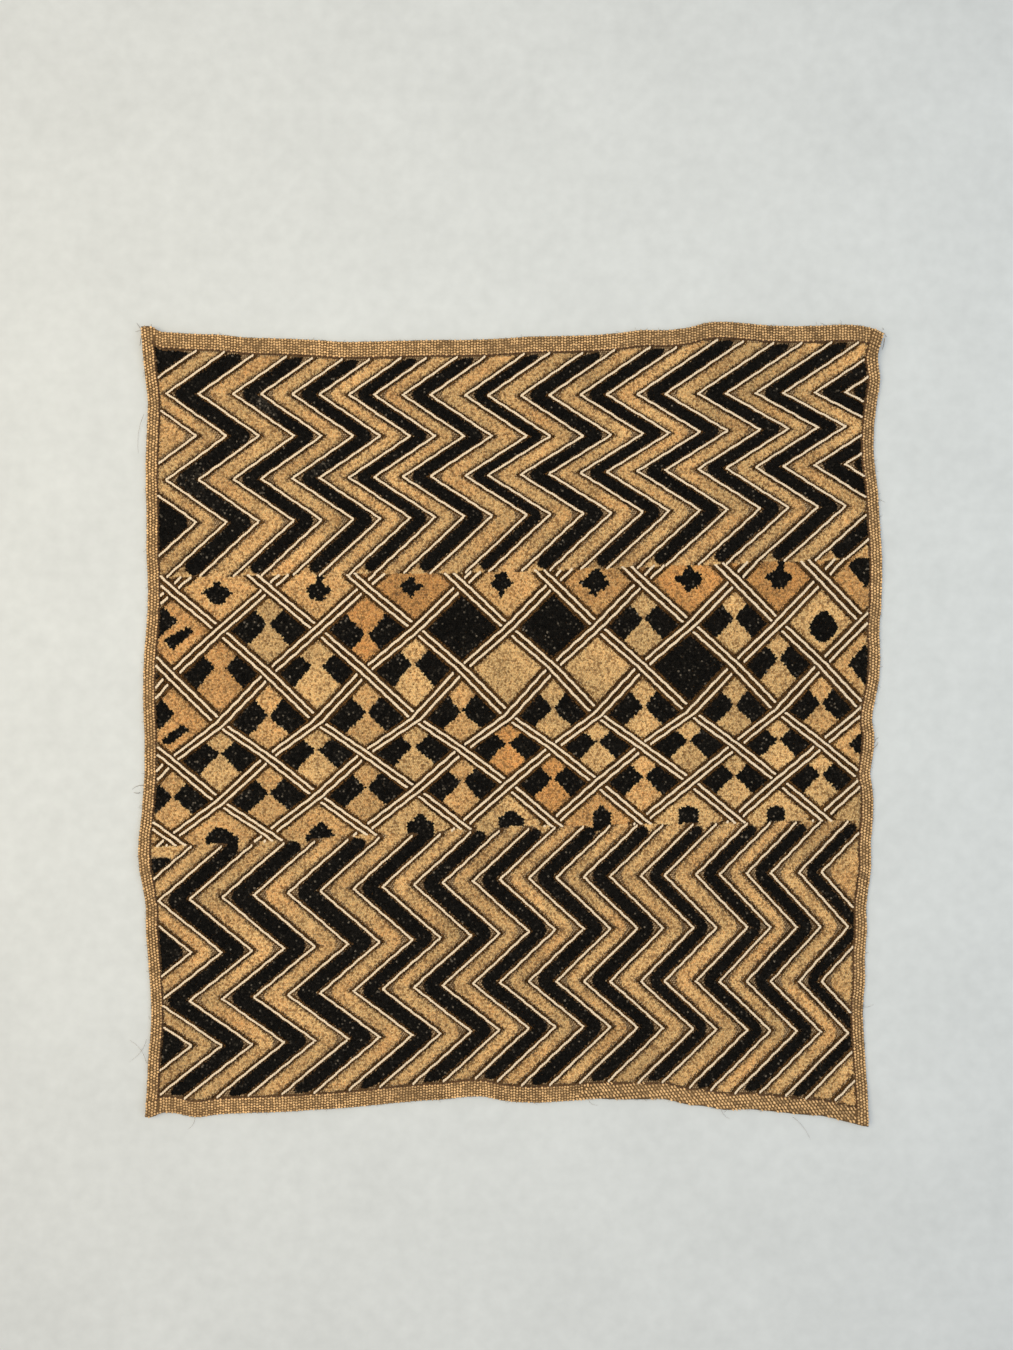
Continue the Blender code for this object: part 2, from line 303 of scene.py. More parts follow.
# columns: x and y of a tree's top, its width to the left and to the right, height, and how far down it widens
TREES = (
    (-222.5, -79.2, 10.0, 15.0, 16.0, 9.0),
    (-144.0, -75.4, 12.0, 10.0, 13.5, 12.0),
    (-68.6, -69.3, 10.0, 10.5, 18.0, 9.0),
    (0.0, -66.3, 9.0, 11.0, 12.5, 8.0),
    (69.3, -63.2, 6.5, 7.5, 18.0, 6.0),
    (135.6, -62.5, 7.5, 7.5, 13.5, 4.0),
    (202.7, -62.5, 7.0, 6.5, 12.0, 4.0),
)

# columns: x and y of a worn place in the black pile, its reach, how much paler it is
WORN = (
    (-186.0, 243.0, 14.0, 24.0),
    (-148.0, 198.0, 14.0, 16.0),
    (-240.0, 186.0, 18.0, 12.0),
    (-207.0, 207.0, 14.0, 4.0),
    (-196.0, 133.0, 15.0, 5.0),
    (-225.0, 160.0, 12.0, 4.0),
    (-215.0, -255.0, 16.0, 5.0),
    (-60.0, -110.0, 12.0, 3.0),
    (-130.0, -120.0, 12.0, 3.0),
)

# columns: x and y of a loose end's root, its direction and length, how far it curls, half its thickness
LOOSE_ENDS = (
    (-277.0, 297.0, 140, 13, -20, 0.30),
    (-278.0, 298.0, 150, 9, 40, 0.25),
    (-276.0, 299.0, 60, 7, 40, 0.30),
    (-279.0, 296.0, 225, 8, 30, 0.35),
    (-277.0, 299.5, 100, 5, -30, 0.40),
    (-279.0, 236.0, 245, 30, 35, 0.12),
    (-278.0, -47.0, 170, 12, 60, 0.25),
    (-282.0, -52.0, 200, 6, -40, 0.30),
    (-277.0, -258.0, 110, 22, 50, 0.12),
    (-277.0, -240.0, 250, 24, -45, 0.12),
    (276.0, -18.0, 15, 7, 60, 0.30),
    (277.0, -14.0, 60, 6, -50, 0.30),
    (240.0, 301.0, 80, 7, 90, 0.20),
    (249.0, 302.0, 20, 9, 110, 0.15),
    (283.0, 296.0, -20, 5, 60, 0.40),
    (283.0, 292.0, -60, 6, -40, 0.40),
    (282.0, 299.0, 30, 5, 60, 0.40),
    (270.0, -303.0, -70, 6, 30, 0.35),
    (215.0, -299.0, -40, 24, -30, 0.12),
    (160.0, -291.0, -80, 14, 60, 0.12),
    (-240.0, -299.0, -100, 13, -50, 0.12),
    (60.0, -287.0, -60, 9, 70, 0.12),
    (268.5, -215.0, -20, 10, 60, 0.12),
    (279.0, 170.0, 20, 8, -60, 0.12),
)
# columns: from, to and how many short fibres stand out along the end rims and along the side rims
END_FIBRES = (-275, 270, 120)
SIDE_FIBRES = (-298, 292, 130)
# The range of their length and curl, and half their thickness
FIBRE_LONG = (1.5, 4.5)
FIBRE_CURL = (-1.5, 1.5)
FIBRE_THICK = 0.12
# A loose end has this many points along it, and loses this share of its thickness towards its tip
STRAND_STEPS = 7
STRAND_TAPER = 0.7
# How high above the cloth's underside a loose end starts, and how high it lies where it is on the cloth
STRAND_ROOT = 2.0
STRAND_ON_CLOTH = 2.5

# The ground: length of the slope up to a hem, and how far in and how deep its outer edge is rounded
SLOPE = 0.8
EDGE_ROUND = 1.3
EDGE_DEEP = 0.9
# How uneven the hems are, and how much cloth is added where two hems cross at a corner
HEM_UNEVEN = 0.16
CORNER_THICK = 0.8
# The distance between the middles of every second strip of the ground's plain weave
WEAVE_REPEAT = 2.3
# The share of the texture square that a piece fills, and the share of that for the ground's underside
UV_FILL = 0.96
UNDERSIDE_FILL = 0.985

TAN, BLACK = 1, 2
# Across a chevron's line: half the cream, the brown beside the tan, the narrow dark edge of the black
CREAM_HALF = 0.75
BROWN_WIDE = 1.6
DARK_WIDE = 0.75
# The brightest a tuft's tip is drawn, above one so that many tips are fully bright, and the darkest
TAN_TONE = 2.1
BLACK_TONE = 1.0
DARKEST_TUFT = 0.12
# The share of a tip's brightness that a tuft's foot has: the foot is darker as painted shade deep in the pile
FOOT_SHADE = 0.45
# The lattice's black pile has this many times the chevron fields' pale tufts
LATTICE_SPECKS = 1.7
# How far a tuft strays from its place on the grid, as a share of the spacing,
# and how deep in the pile the first ones stand
TUFT_STRAY = 0.25
TUFT_INSIDE = 0.3
# How far a tip leans sideways, how much lower tips are at a band's edge, and how far in that reaches
TIP_LEAN = 0.32
EDGE_DROP = 0.65
EDGE_REACH = 1.1

# Stitches: the range a stitch's brightness is drawn from, and the share of it at its ends and its sides; a
# share below one darkens them as painted shade between the stitches
PLAIN_TONES = (0.45, 1.35, 0.45, 0.8)
CREAM_TONES = (0.8, 2.0, 0.6, 1.0)
DARK_TONES = (0.0, 0.8, 0.5, 0.9)
MIDDLE_TONES = (0.05, 0.75, 0.5, 0.9)
HEM_TONES = (0.35, 2.0, 0.4, 0.65)
SLANTED_TONES = (0.35, 1.7, 0.85, 0.4)
# Length, width and height of a woven bead on the hems
END_BEAD = (2.2, 1.95, 0.75)
SLANTED_BEAD = (3.5, 1.75, 0.75)
SIDE_BEAD = (2.4, 1.95, 0.75)
# How far a stitch is turned from its line, in radians
CREAM_SLANT = 0.50
LATTICE_SLANT = 0.55
BROWN_SLANT = 0.45
# Heights of a cream and a brown stitch, and how far above the ground the cream and the middle brown ones lie
CREAM_TALL = 0.4
BROWN_TALL = 0.9
CREAM_LIFT = 1.3
MIDDLE_LIFT = 0.3
# The lattice's cream stitches, and the brown ones outside them, are this many times as wide as a cream stitch
LATTICE_CREAM = 1.15
LATTICE_BROWN = 1.35
# A cream stitch keeps its width over this share of its length
CREAM_SHOULDER = 0.45
# columns: rows of beads on a hem, how far in the first lies, distance between rows, distance along a row
SIDE_ROWS = (4, 1.2, 2.25, 2.2)
END_ROWS = (6, 1.0, 2.0, 2.15)
# Every second bead of an end hem's row lies this much farther in
END_STAGGER = 0.5
# The slanted weave: distance between its rows and along a row, on a grid that reaches this far
SLANTED_APART = 2.15
SLANTED_PITCH = 2.8
SLANTED_REACH = 400.0
# Beads stay this far inside the rim, off the side hems and off the field
RIM_MARGIN = 0.8
SIDE_MARGIN = 0.2
FIELD_MARGIN = 0.6
# Bare weave: its strips' spacing, a bead's size, how deep under a pile's edge it goes, how near to
# the hems it stays in the lattice's field, and how far it stays off a chevron's line
BARE_PITCH = (1.7, 1.5)
BARE_BEAD = (2.3, 1.3, 0.8)
BARE_UNDER = 0.2
BARE_RIM = 2.0
LINE_CLEAR = 1.5
# Running stitches of the hems: size, spacing, how far outside the field, and how far past a corner
HEM_STITCH = (3.7, 1.2, 0.8)
HEM_STITCH_PITCH = 3.9
HEM_STITCH_OUT = 0.7
HEM_STITCH_PAST = 2.0


def smooth(x, xs, ys):
    """Value at x of a curve through the table's points, without corners."""
    xs = np.asarray(xs, float)
    ys = np.asarray(ys, float)
    slopes = np.gradient(ys, xs)
    x = np.clip(x, xs[0], xs[-1])
    i = np.clip(np.searchsorted(xs, x) - 1, 0, len(xs) - 2)
    h = xs[i + 1] - xs[i]
    t = (x - xs[i]) / h
    start = (1 + 2 * t) * (1 - t) ** 2 * ys[i] + t * (1 - t) ** 2 * h * slopes[i]
    end = t * t * (3 - 2 * t) * ys[i + 1] + t * t * (t - 1) * h * slopes[i + 1]
    return start + end


def left_x(y):
    rows = SIDE_EDGES[::-1]
    return smooth(y, [r[0] for r in rows], [r[1] for r in rows])


def right_x(y):
    rows = SIDE_EDGES[::-1]
    return smooth(y, [r[0] for r in rows], [r[2] for r in rows])


def top_y(x):
    return smooth(x, [r[0] for r in END_EDGES], [r[1] for r in END_EDGES])


def bottom_y(x):
    return smooth(x, [r[0] for r in END_EDGES], [r[2] for r in END_EDGES])


def side_inset(x, y):
    """Distance from a point to the nearest side hem's inner edge, above zero in the field."""
    return np.minimum(x - left_x(y), right_x(y) - x) - SIDE_HEM


def end_inset(x, y):
    """Distance from a point to the nearest end hem's inner edge, above zero in the field."""
    return np.minimum(top_y(x) - y, y - bottom_y(x)) - END_HEM


def inset(x, y):
    return np.minimum(side_inset(x, y), end_inset(x, y))


def lift(x, y):
    """Height of the cloth's underside above the floor."""
    beyond = np.hypot(np.maximum(np.abs(x) - REST_HALF, 0), np.maximum(np.abs(y) - REST_HALF, 0))
    height = RIM_RISE * np.clip(beyond / RIM_REACH, 0, 1)
    for cx, cy, rise, reach in LIFTS:
        near = np.clip(np.hypot(x - cx, y - cy) / reach, 0, 1)
        height = np.maximum(height, rise * 0.5 * (1 + np.cos(math.pi * near)))
    return height


def wobble(x, y, size, start=0.0):
    """Smooth unevenness between about -1 and 1 that changes over the given size."""
    k = 2 * math.pi / size
    one = np.sin(k * (x + 0.7 * y) + start)
    two = np.sin(k * (0.6 * x - 1.1 * y) + 2.3 * start + 1)
    three = np.sin(1.7 * k * (1.3 * y - 0.3 * x) + 5 * start)
    return (one + two + three) / 3


def across(values, x):
    return np.interp(x, FIELD_XS, values)


def zigzags(first, bands, rows, swing):
    """The lines of a chevron field from left to right, each a list of (x, y) from the top down."""
    tips = [first - 2 * MORE_BAND, first - MORE_BAND]
    tips += list(first + np.cumsum([0] + list(bands)))
    tips += [tips[-1] + MORE_BAND, tips[-1] + 2 * MORE_BAND]
    return [[(tip + share * float(across(swing, tip)), float(across(heights, tip)))
             for share, *heights in rows] for tip in tips]


def lattice_chains(way):
    """The lattice's bands that run one way, from the top down, and a number for each."""
    columns = [LATTICE_FIRST - n * MORE_STEP for n in range(MORE_COLUMNS, 0, -1)]
    columns += list(LATTICE_FIRST + np.cumsum([0] + list(LATTICE_STEPS)))
    columns += [columns[-1] + n * MORE_STEP for n in range(1, MORE_COLUMNS + 1)]
    span = len(LATTICE_ROWS) - 1
    chains, numbers = [], []
    for start in range((MORE_COLUMNS + 1) % 2, len(columns), 2):
        if 0 <= start + way * span < len(columns):
            xs = [float(columns[start + way * k]) for k in range(span + 1)]
            chains.append([(x, float(across(heights, x))) for x, heights in zip(xs, LATTICE_ROWS)])
            numbers.append(start - MORE_COLUMNS + way)
    return chains, np.array(numbers)


UPPER = zigzags(UPPER_FIRST, UPPER_BANDS, UPPER_ROWS, UPPER_SWING)
LOWER = zigzags(LOWER_FIRST, LOWER_BANDS, LOWER_ROWS, LOWER_SWING)
FALLING, FALLING_NUMBERS = lattice_chains(1)
RISING, RISING_NUMBERS = lattice_chains(-1)


def upper_end(x):
    """Height at which the upper chevrons stop and the lattice starts."""
    return across(UPPER_ROWS[-1][1:], x)


def lower_end(x):
    """Height at which the lattice stops and the lower chevrons start."""
    return across(LOWER_ROWS[0][1:], x)


def line_x(line, y):
    points = line[::-1]
    return np.interp(y, [p[1] for p in points], [p[0] for p in points])


def beyond_tip(line, y, side):
    """Where the stretch of a zigzag line on the far side of its nearest left or right tip would run."""
    xs, ys = np.array(line).T
    part = np.clip(np.searchsorted(-ys, -y) - 1, 0, len(line) - 2)
    tip = np.where(side * (xs[part] - xs[part + 1]) > 0, part, part + 1)
    other = np.where(tip == part, part - 1, part + 1)
    known = (other >= 0) & (other <= len(line) - 2)
    other = np.clip(other, 0, len(line) - 2)
    slope = (xs[other + 1] - xs[other]) / (ys[other + 1] - ys[other])
    return np.where(known, xs[other] + slope * (y - ys[other]), side * FAR)


def between(xs, x):
    """Number of the line to the left of each point, and the distances to it and to the next."""
    i = np.clip((xs < x).sum(axis=0) - 1, 0, len(xs) - 2)
    at = np.arange(len(x))
    return i, x - xs[i, at], xs[i + 1, at] - x


def shown(upper, n, y):
    """Whether line n of a chevron field is worked at each height."""
    if n == 0:
        return np.zeros(len(y), bool)
    if n <= LAST_LINE:
        return np.ones(len(y), bool)
    return np.full(len(y), not upper) & (y < CORNER_LINES_BELOW)


def rounded(depth, end, radius):
    """Depth in a band whose end is rounded off."""
    corner = radius - np.hypot(np.maximum(radius - depth, 0), np.maximum(radius - end, 0))
    return np.minimum(depth, corner)


def leaning(lines, band, y):
    """For each point 1 where its band leans right on the way up and -1 where it leans left."""
    ways = np.array([line_x(line, y + 1.0) - line_x(line, y - 1.0) for line in lines])
    return np.sign(ways[band, np.arange(len(y))])


def chevron_pile(lines, x, y, upper):
    """Colour of the pile in a chevron field, and how deep each point lies in its band."""
    xs = np.array([np.where(shown(upper, n, y), line_x(line, y), -FAR if n == 0 else FAR + n)
                   for n, line in enumerate(lines)])
    band, left, right = between(xs, x)
    kind = np.where(band % 2 == 0, BLACK, TAN)
    if upper:
        kind = np.where((band < 1) & (y > LEFT_TAN[0]) & (y < LEFT_TAN[1]), TAN, kind)
        kind = np.where(band >= LAST_LINE, BLACK, kind)
    else:
        kind = np.where((band > LAST_LINE) & (y < CORNER_LINES_BELOW), TAN, kind)
    black = kind == BLACK
    gap = CREAM_HALF + np.where(black, DARK_WIDE, BROWN_WIDE)
    left_turns = np.array([beyond_tip(line, y, -1) for line in lines])
    right_turns = np.array([beyond_tip(line, y, 1) for line in lines])
    at = np.arange(len(x))
    past_left = (x - left_turns[band, at]) * CHEVRON_SINE - gap
    past_right = (right_turns[np.minimum(band + 1, len(lines) - 1), at] - x) * CHEVRON_SINE - gap
    bend = CORNER_RADIUS * (1 + 0.25 * wobble(x, y, 50.0, 9))
    depth = np.minimum(rounded(left * CHEVRON_SINE - gap, past_left, bend),
                       rounded(right * CHEVRON_SINE - gap, past_right, bend))
    # A black band is cut square to its own direction, where it stops and where it meets an end hem
    aside = np.clip((left - right) / 2, -BAND_REACH, BAND_REACH) * leaning(lines, band, y) * SQUARE_CUT
    far_off = np.maximum(left, right) > FAR / 4
    aside = np.where(far_off, BAND_REACH * SQUARE_CUT * np.where(y > 0, -1, 1), aside)
    edge = end_inset(x, y) - np.where(black, HEM_GAP_BLACK, HEM_GAP_TAN)
    at_top = top_y(x) - y < y - bottom_y(x)
    cut = edge + np.where(at_top, -aside, aside) - BAND_REACH * SQUARE_CUT
    depth = rounded(depth, np.where(black, np.minimum(edge, cut + HEM_CUT), edge),
                    np.where(black, END_RADIUS, TAN_END_RADIUS))
    past = y - upper_end(x) if upper else lower_end(x) - y
    end = rounded(depth, past - END_GAP + (aside if upper else -aside), END_RADIUS)
    if not upper:
        in_tree = trees(x, y)
        end = np.where(in_tree, depth, end)
    tan_end = black & (end < 0) & (past < END_GAP + END_RADIUS + BAND_REACH * SQUARE_CUT) & (depth > 0)
    return np.where(tan_end, TAN, kind), np.where(black & ~tan_end, end, depth)


def trees(x, y):
    """Whether a point lies in one of the black trees where the lattice meets the lower chevrons."""
    found = np.zeros(len(x), bool)
    for cx, cy, half_left, half_right, tall, shoulder in TREES:
        dx, dy = x - cx, cy - y
        spread = np.clip(np.ceil(4 * (dy + 0.8) / shoulder) / 4, 0, 1)
        found |= (dy > -0.8) & (dy < tall) & (dx > -half_left * spread) & (dx < half_right * spread)
    return found


def lattice_pile(x, y):
    """Colour of the pile in the lattice, how deep each point lies in its diamond, and how orange it is."""
    falling_xs = np.array([line_x(chain, y) for chain in FALLING])
    rising_xs = np.array([line_x(chain, y) for chain in RISING])
    i, fall_left, fall_right = between(falling_xs, x)
    j, rise_left, rise_right = between(rising_xs, x)
    fall, rise = fall_left / (fall_left + fall_right), rise_left / (rise_left + rise_right)
    row = (RISING_NUMBERS[j] - FALLING_NUMBERS[i]) // 2
    column = 1 + (FALLING_NUMBERS[i] + RISING_NUMBERS[j]) // 2
    nearest = np.minimum(np.minimum(fall_left, fall_right), np.minimum(rise_left, rise_right))
    depth = nearest * LATTICE_SINE - BAND_HALF
    start = row * 1.7 + column * 0.9
    fall = fall + 0.014 * wobble(x, y, 9.0, start)
    rise = rise + 0.014 * wobble(x, y, 9.0, start + 4)
    row, column = np.clip(row, 0, 6), np.clip(column // 2, 0, 7)
    cell = np.array([list(r) for r in DIAMONDS])[row, column]
    orange = np.array([[int(c) for c in r] for r in ORANGE])[row, column] / 3
    right, up = fall + rise - 1, fall - rise

    black = cell == "b"
    for letter, (waist_up, slope, waist) in BLOCKS.items():
        black |= (cell == letter) & (np.abs(right) > slope * np.abs(up - waist_up) + waist)
    middle_right, half_x, middle_up, half_y = SMALL_DIAMOND
    small = np.abs((right - middle_right) / half_x) ** 1.5 + np.abs((up - middle_up) / half_y) ** 1.5
    black |= (cell == "d") & (small < 1)
    black |= (cell == "u") & trees(x, y)
    for here, sizes in ((row != LOWER_LEFT_ROW, LEFT_HALF), (row == LOWER_LEFT_ROW, LOWER_LEFT_HALF)):
        low, climb, high, start_at, end_at, corner_rise, corner_fall = sizes
        bar = (rise > low + climb * fall) & (rise < high) & (fall > start_at) & (fall < end_at)
        corner = (rise < corner_rise) & (fall < corner_fall)
        black |= (cell == "c") & here & (bar | corner)
    raised = np.where(row == 0, TOP_BLOCK_UP, 0)
    black |= (cell == "e") & (np.abs(right) / RIGHT_BLOCK[0] + np.abs(up - raised) / RIGHT_BLOCK[1] < 1)
    for n, (cx, cy, half_x, half_y, neck) in enumerate(STARS):
        dx, dy = x - cx, y - cy
        edge = 1 + 0.12 * wobble(x, y, 7.0, n) + 0.10 * np.sign(np.sin(5 * np.arctan2(dy, dx) + n))
        in_star = np.abs(dx) / half_x + np.abs(dy) / half_y < edge
        in_neck = (np.abs(dx - 0.15 * dy) < neck) & (dy > 0) & (dy < NECK_LENGTH)
        black |= (cell == "s") & (in_star | in_neck)
    return np.where(black, BLACK, TAN), depth, orange


def pile_at(x, y):
    """Colour, depth, warmth and field (0 upper, 1 lattice, 2 lower) of the pile at each point."""
    upper, upper_depth = chevron_pile(UPPER, x, y, True)
    lower, lower_depth = chevron_pile(LOWER, x, y, False)
    middle, middle_depth, orange = lattice_pile(x, y)
    field = np.where(y > upper_end(x), 0, np.where(y < lower_end(x), 2, 1))
    kind = np.choose(field, (upper, middle, lower))
    depth = np.minimum(np.choose(field, (upper_depth, middle_depth, lower_depth)), inset(x, y))
    warm = np.where(field == 1, orange, np.clip(0.15 + 0.25 * wobble(x, y, 90.0, 2), 0, 1))
    return kind, depth, warm, field


# Settings


def length(name, description, default, low=0.0):
    return FloatProperty(name=name, description=description, default=default, min=low,
                         unit="LENGTH", precision=5)


def colour(name, description, default):
    return FloatVectorProperty(name=name, description=description, default=default + (1.0,), size=4,
                               min=0.0, max=1.0, subtype="COLOR")


def share(name, description, default):
    return FloatProperty(name=name, description=description, default=default, min=0.0, max=1.0,
                         subtype="FACTOR")


class KubaGroundSettings(bpy.types.PropertyGroup):
    thick: length("Ground thickness", "Thickness of the woven raffia ground", 0.0010)
    hem_thick: length("Hem thickness", "Thickness of the ground turned double at a hem", 0.0022)
    step: length("Mesh step", "Size of the ground's mesh faces", 0.0042, 0.002)
    # The ground colour is darker than the hems' raffia: painted shade of the ground under and between the
    # pile
    field: colour("Ground colour", "Raffia ground between the worked parts", (0.12, 0.066, 0.030))
    hem: colour("Hem colour", "Raffia of the turned hems", (0.218, 0.124, 0.054))
    # This colour is painted shade, laid along the edges where the woven strips meet
    dark: colour("Aged colour", "Raffia where it is rubbed and soiled", (0.12, 0.06, 0.025))


class KubaPileSettings(bpy.types.PropertyGroup):
    pitch: length("Tuft spacing", "Distance from one cut tuft to the next", 0.0015, 0.001)
    width: length("Tuft width", "Width of a tuft at its foot", 0.0018)
    top: length("Pile height", "Height of the tufts' tips above the underside", 0.00285)
    uneven: length("Unevenness", "How much the tips differ in height", 0.00022)
    tan: colour("Tan", "Tips of the tan tufts", (1.0, 0.69, 0.325))
    # The tufts' foot colours are darker than their tips: painted shade deep in the pile
    tan_foot_shade: colour("Tan foot", "Foot of the tan tufts", (0.30, 0.145, 0.045))
    orange: colour("Orange tan", "Tips of the more orange tufts", (0.90, 0.47, 0.155))
    black: colour("Black", "Tips of the black tufts", (0.016, 0.0125, 0.0095))
    # Painted shade at the black tufts' feet
    black_foot_shade: colour("Black foot", "Foot of the black tufts", (0.002, 0.0015, 0.001))
    speck: colour("Brown speck", "Tips of the few pale tufts among the black ones", (0.30, 0.24, 0.18))
    specks: share("Share of specks", "How many of the black tufts are pale", 0.012)


class KubaStitchSettings(bpy.types.PropertyGroup):
    cream_width: length("Cream width", "Width of a cream stitch", 0.0014)
    cream_length: length("Cream length", "Length of a cream stitch", 0.0028)
    cream_pitch: length("Cream spacing", "Distance from one cream stitch to the next", 0.0018, 0.001)
    brown_width: length("Brown width", "Width of a brown stitch", 0.0015)
    brown_length: length("Brown length", "Length of a brown stitch", 0.0026)
    brown_pitch: length("Brown spacing", "Distance from one brown stitch to the next", 0.0015, 0.001)
    cream: colour("Cream", "Undyed raffia of the lines", (1.0, 0.77, 0.54))
    brown: colour("Brown", "Brown raffia beside the cream lines", (0.28, 0.125, 0.034))
    hem: colour("Hem raffia", "Raffia of the hems' woven beads", (1.0, 0.60, 0.275))
    thread: colour("Hem thread", "Thread of the hems' running stitches", (0.16, 0.066, 0.030))
    bare: colour("Bare raffia", "Raffia of the ground where nothing covers it", (0.50, 0.33, 0.18))
    # The darkest colour of the bare beads also shows at their ends and sides as painted shade between them
    bare_dark: colour("Bare raffia, dark", "The darkest strips of the bare ground", (0.035, 0.018, 0.008))
    loose: colour("Loose ends", "Raffia of the loose ends and fibres", (0.36, 0.24, 0.12))
    loose_dark: colour("Loose ends, dark", "The darkest of the loose ends", (0.10, 0.055, 0.025))


class KubaStageSettings(bpy.types.PropertyGroup):
    height: length("Camera height", "Height of the camera above the floor", 0.7455)
    lens: FloatProperty(name="Lens", description="Focal length of the camera in millimetres", default=26.0,
                        min=1.0, unit="CAMERA")
    aim_x: FloatProperty(name="Aim X", description="Where the camera looks", default=-0.0034, unit="LENGTH")
    aim_y: FloatProperty(name="Aim Y", description="Where the camera looks", default=0.0373, unit="LENGTH")
    floor: colour("Floor colour", "Plain pale floor", (0.795, 0.795, 0.795))
    left: FloatProperty(name="Left light", description="Power of the warm light on the left", default=10.3,
                        min=0.0, unit="POWER")
    right: FloatProperty(name="Right light", description="Power of the cool light on the right", default=6.3,
                         min=0.0, unit="POWER")


# Materials


def link(tree, out, into):
    tree.links.new(out, into)


def add_node(tree, kind, settings=None, **inputs):
    """A node with its properties set, and each input given as a value or as an output to link.
    An input is called by its name, or by i and its number."""
    node = tree.nodes.new(kind)
    for name, value in (settings or {}).items():
        setattr(node, name, value)
    for name, value in inputs.items():
        key = int(name[1:]) if name[0] == "i" and name[1:].isdigit() else name.replace("_", " ")
        socket = node.inputs[key]
        if isinstance(value, bpy.types.NodeSocket):
            link(tree, value, socket)
        else:
            socket.default_value = value
    return node


def math_node(tree, operation, a, b=0.0, c=0.0):
    return add_node(tree, "ShaderNodeMath", {"operation": operation}, i0=a, i1=b, i2=c).outputs[0]


def blend(tree, amount, one, two, kind="MIX"):
    """A colour between one and two. The mix node's sockets 0, 6 and 7 are its factor and its two colours."""
    settings = {"data_type": "RGBA", "blend_type": kind}
    return add_node(tree, "ShaderNodeMix", settings, i0=amount, i6=one, i7=two).outputs[2]


def new_group(name, inputs, outputs):
    """An empty node group with named number inputs and outputs, and a position input."""
    group = bpy.data.node_groups.new(name, "ShaderNodeTree")
    group.interface.new_socket("Position", in_out="INPUT", socket_type="NodeSocketVector")
    for socket_name, default in inputs:
        socket = group.interface.new_socket(socket_name, in_out="INPUT", socket_type="NodeSocketFloat")
        socket.default_value = default
    for socket_name in outputs:
        group.interface.new_socket(socket_name, in_out="OUTPUT", socket_type="NodeSocketFloat")
    return group, group.nodes.new("NodeGroupInput").outputs, group.nodes.new("NodeGroupOutput").inputs


def mottle_group():
    """Broad patches of lighter and darker raffia, and the finer change from fibre to fibre."""
    sizes = (("Patch", 18.0), ("Fibre", 500.0), ("Strength", 0.5))
    group, given, out = new_group("Raffia mottle", sizes, ("Tone",))
    patch = add_node(group, "ShaderNodeTexNoise", None, Vector=given["Position"], Scale=given["Patch"],
                     Detail=3.0, Roughness=0.6)
    fibre = add_node(group, "ShaderNodeTexNoise", None, Vector=given["Position"], Scale=given["Fibre"],
                     Detail=2.0, Roughness=0.5)
    both = math_node(group, "ADD", math_node(group, "MULTIPLY", patch.outputs[0], 0.5),
                     math_node(group, "MULTIPLY", fibre.outputs[0], 0.5))
    swing = math_node(group, "MULTIPLY", math_node(group, "SUBTRACT", both, 0.5), 3.0)
    link(group, math_node(group, "MULTIPLY_ADD", swing, given["Strength"], 1.0), out["Tone"])
    return group


def weave_group():
    """Plain weave: the height of threads that pass over and under each other, for a bump, and Gap, which
    falls to nothing where the strips meet, for painted shade between them.
    """
    group, given, out = new_group("Plain weave", (("Repeat", WEAVE_REPEAT * MM),), ("Height", "Gap"))
    parts = add_node(group, "ShaderNodeSeparateXYZ", None, Vector=given["Position"])
    turn = math_node(group, "DIVIDE", 2 * math.pi, given["Repeat"])
    waves = [math_node(group, "SINE", math_node(group, "MULTIPLY", parts.outputs[n], turn)) for n in (0, 1)]
    over = math_node(group, "MULTIPLY", waves[0], waves[1])
    link(group, math_node(group, "MULTIPLY_ADD", over, 0.5, 0.5), out["Height"])
    sizes = [math_node(group, "ABSOLUTE", wave) for wave in waves]
    link(group, math_node(group, "MULTIPLY", sizes[0], sizes[1]), out["Gap"])
    return group


def strand_group():
    """The fine fibres of a raffia strand, for a bump."""
    group, given, out = new_group("Raffia strands", (("Across", 4000.0),), ("Height",))
    noise = add_node(group, "ShaderNodeTexNoise", None, Vector=given["Position"], Scale=given["Across"],
                     Detail=2.0, Roughness=0.6)
    link(group, noise.outputs[0], out["Height"])
    return group


def use_group(tree, group, **inputs):
    return add_node(tree, "ShaderNodeGroup", {"node_tree": group}, **inputs).outputs


def shared_group(name, make):
    return bpy.data.node_groups.get(name) or make()


def new_material(name, roughness, sheen, gloss):
    """A material, its tree, its shader and a position to texture by."""
    material = bpy.data.materials.new(name)
    material.use_nodes = True
    tree = material.node_tree
    shader = tree.nodes["Principled BSDF"]
    shader.inputs["Roughness"].default_value = roughness
    shader.inputs["Sheen Weight"].default_value = sheen
    shader.inputs["Sheen Roughness"].default_value = 0.4
    shader.inputs["Specular IOR Level"].default_value = gloss
    place = tree.nodes.new("ShaderNodeTexCoord").outputs["Object"]
    return material, tree, shader, place


def read(tree, name):
    """The value that each point of the mesh carries under this name."""
    return add_node(tree, "ShaderNodeAttribute", {"attribute_name": name}).outputs["Fac"]


def bumped(tree, shader, height, distance, strength):
    bump = add_node(tree, "ShaderNodeBump", None, Height=height, Distance=distance, Strength=strength)
    link(tree, bump.outputs[0], shader.inputs["Normal"])


def toned(tree, place, base, patch, fibre, strength):
    """A colour made lighter and darker by the raffia's own mottle."""
    tone = use_group(tree, shared_group("Raffia mottle", mottle_group), Position=place, Patch=patch,
                     Fibre=fibre, Strength=strength)["Tone"]
    grey = add_node(tree, "ShaderNodeCombineColor", None, Red=tone, Green=tone, Blue=tone).outputs[0]
    return blend(tree, 1.0, base, grey, "MULTIPLY")


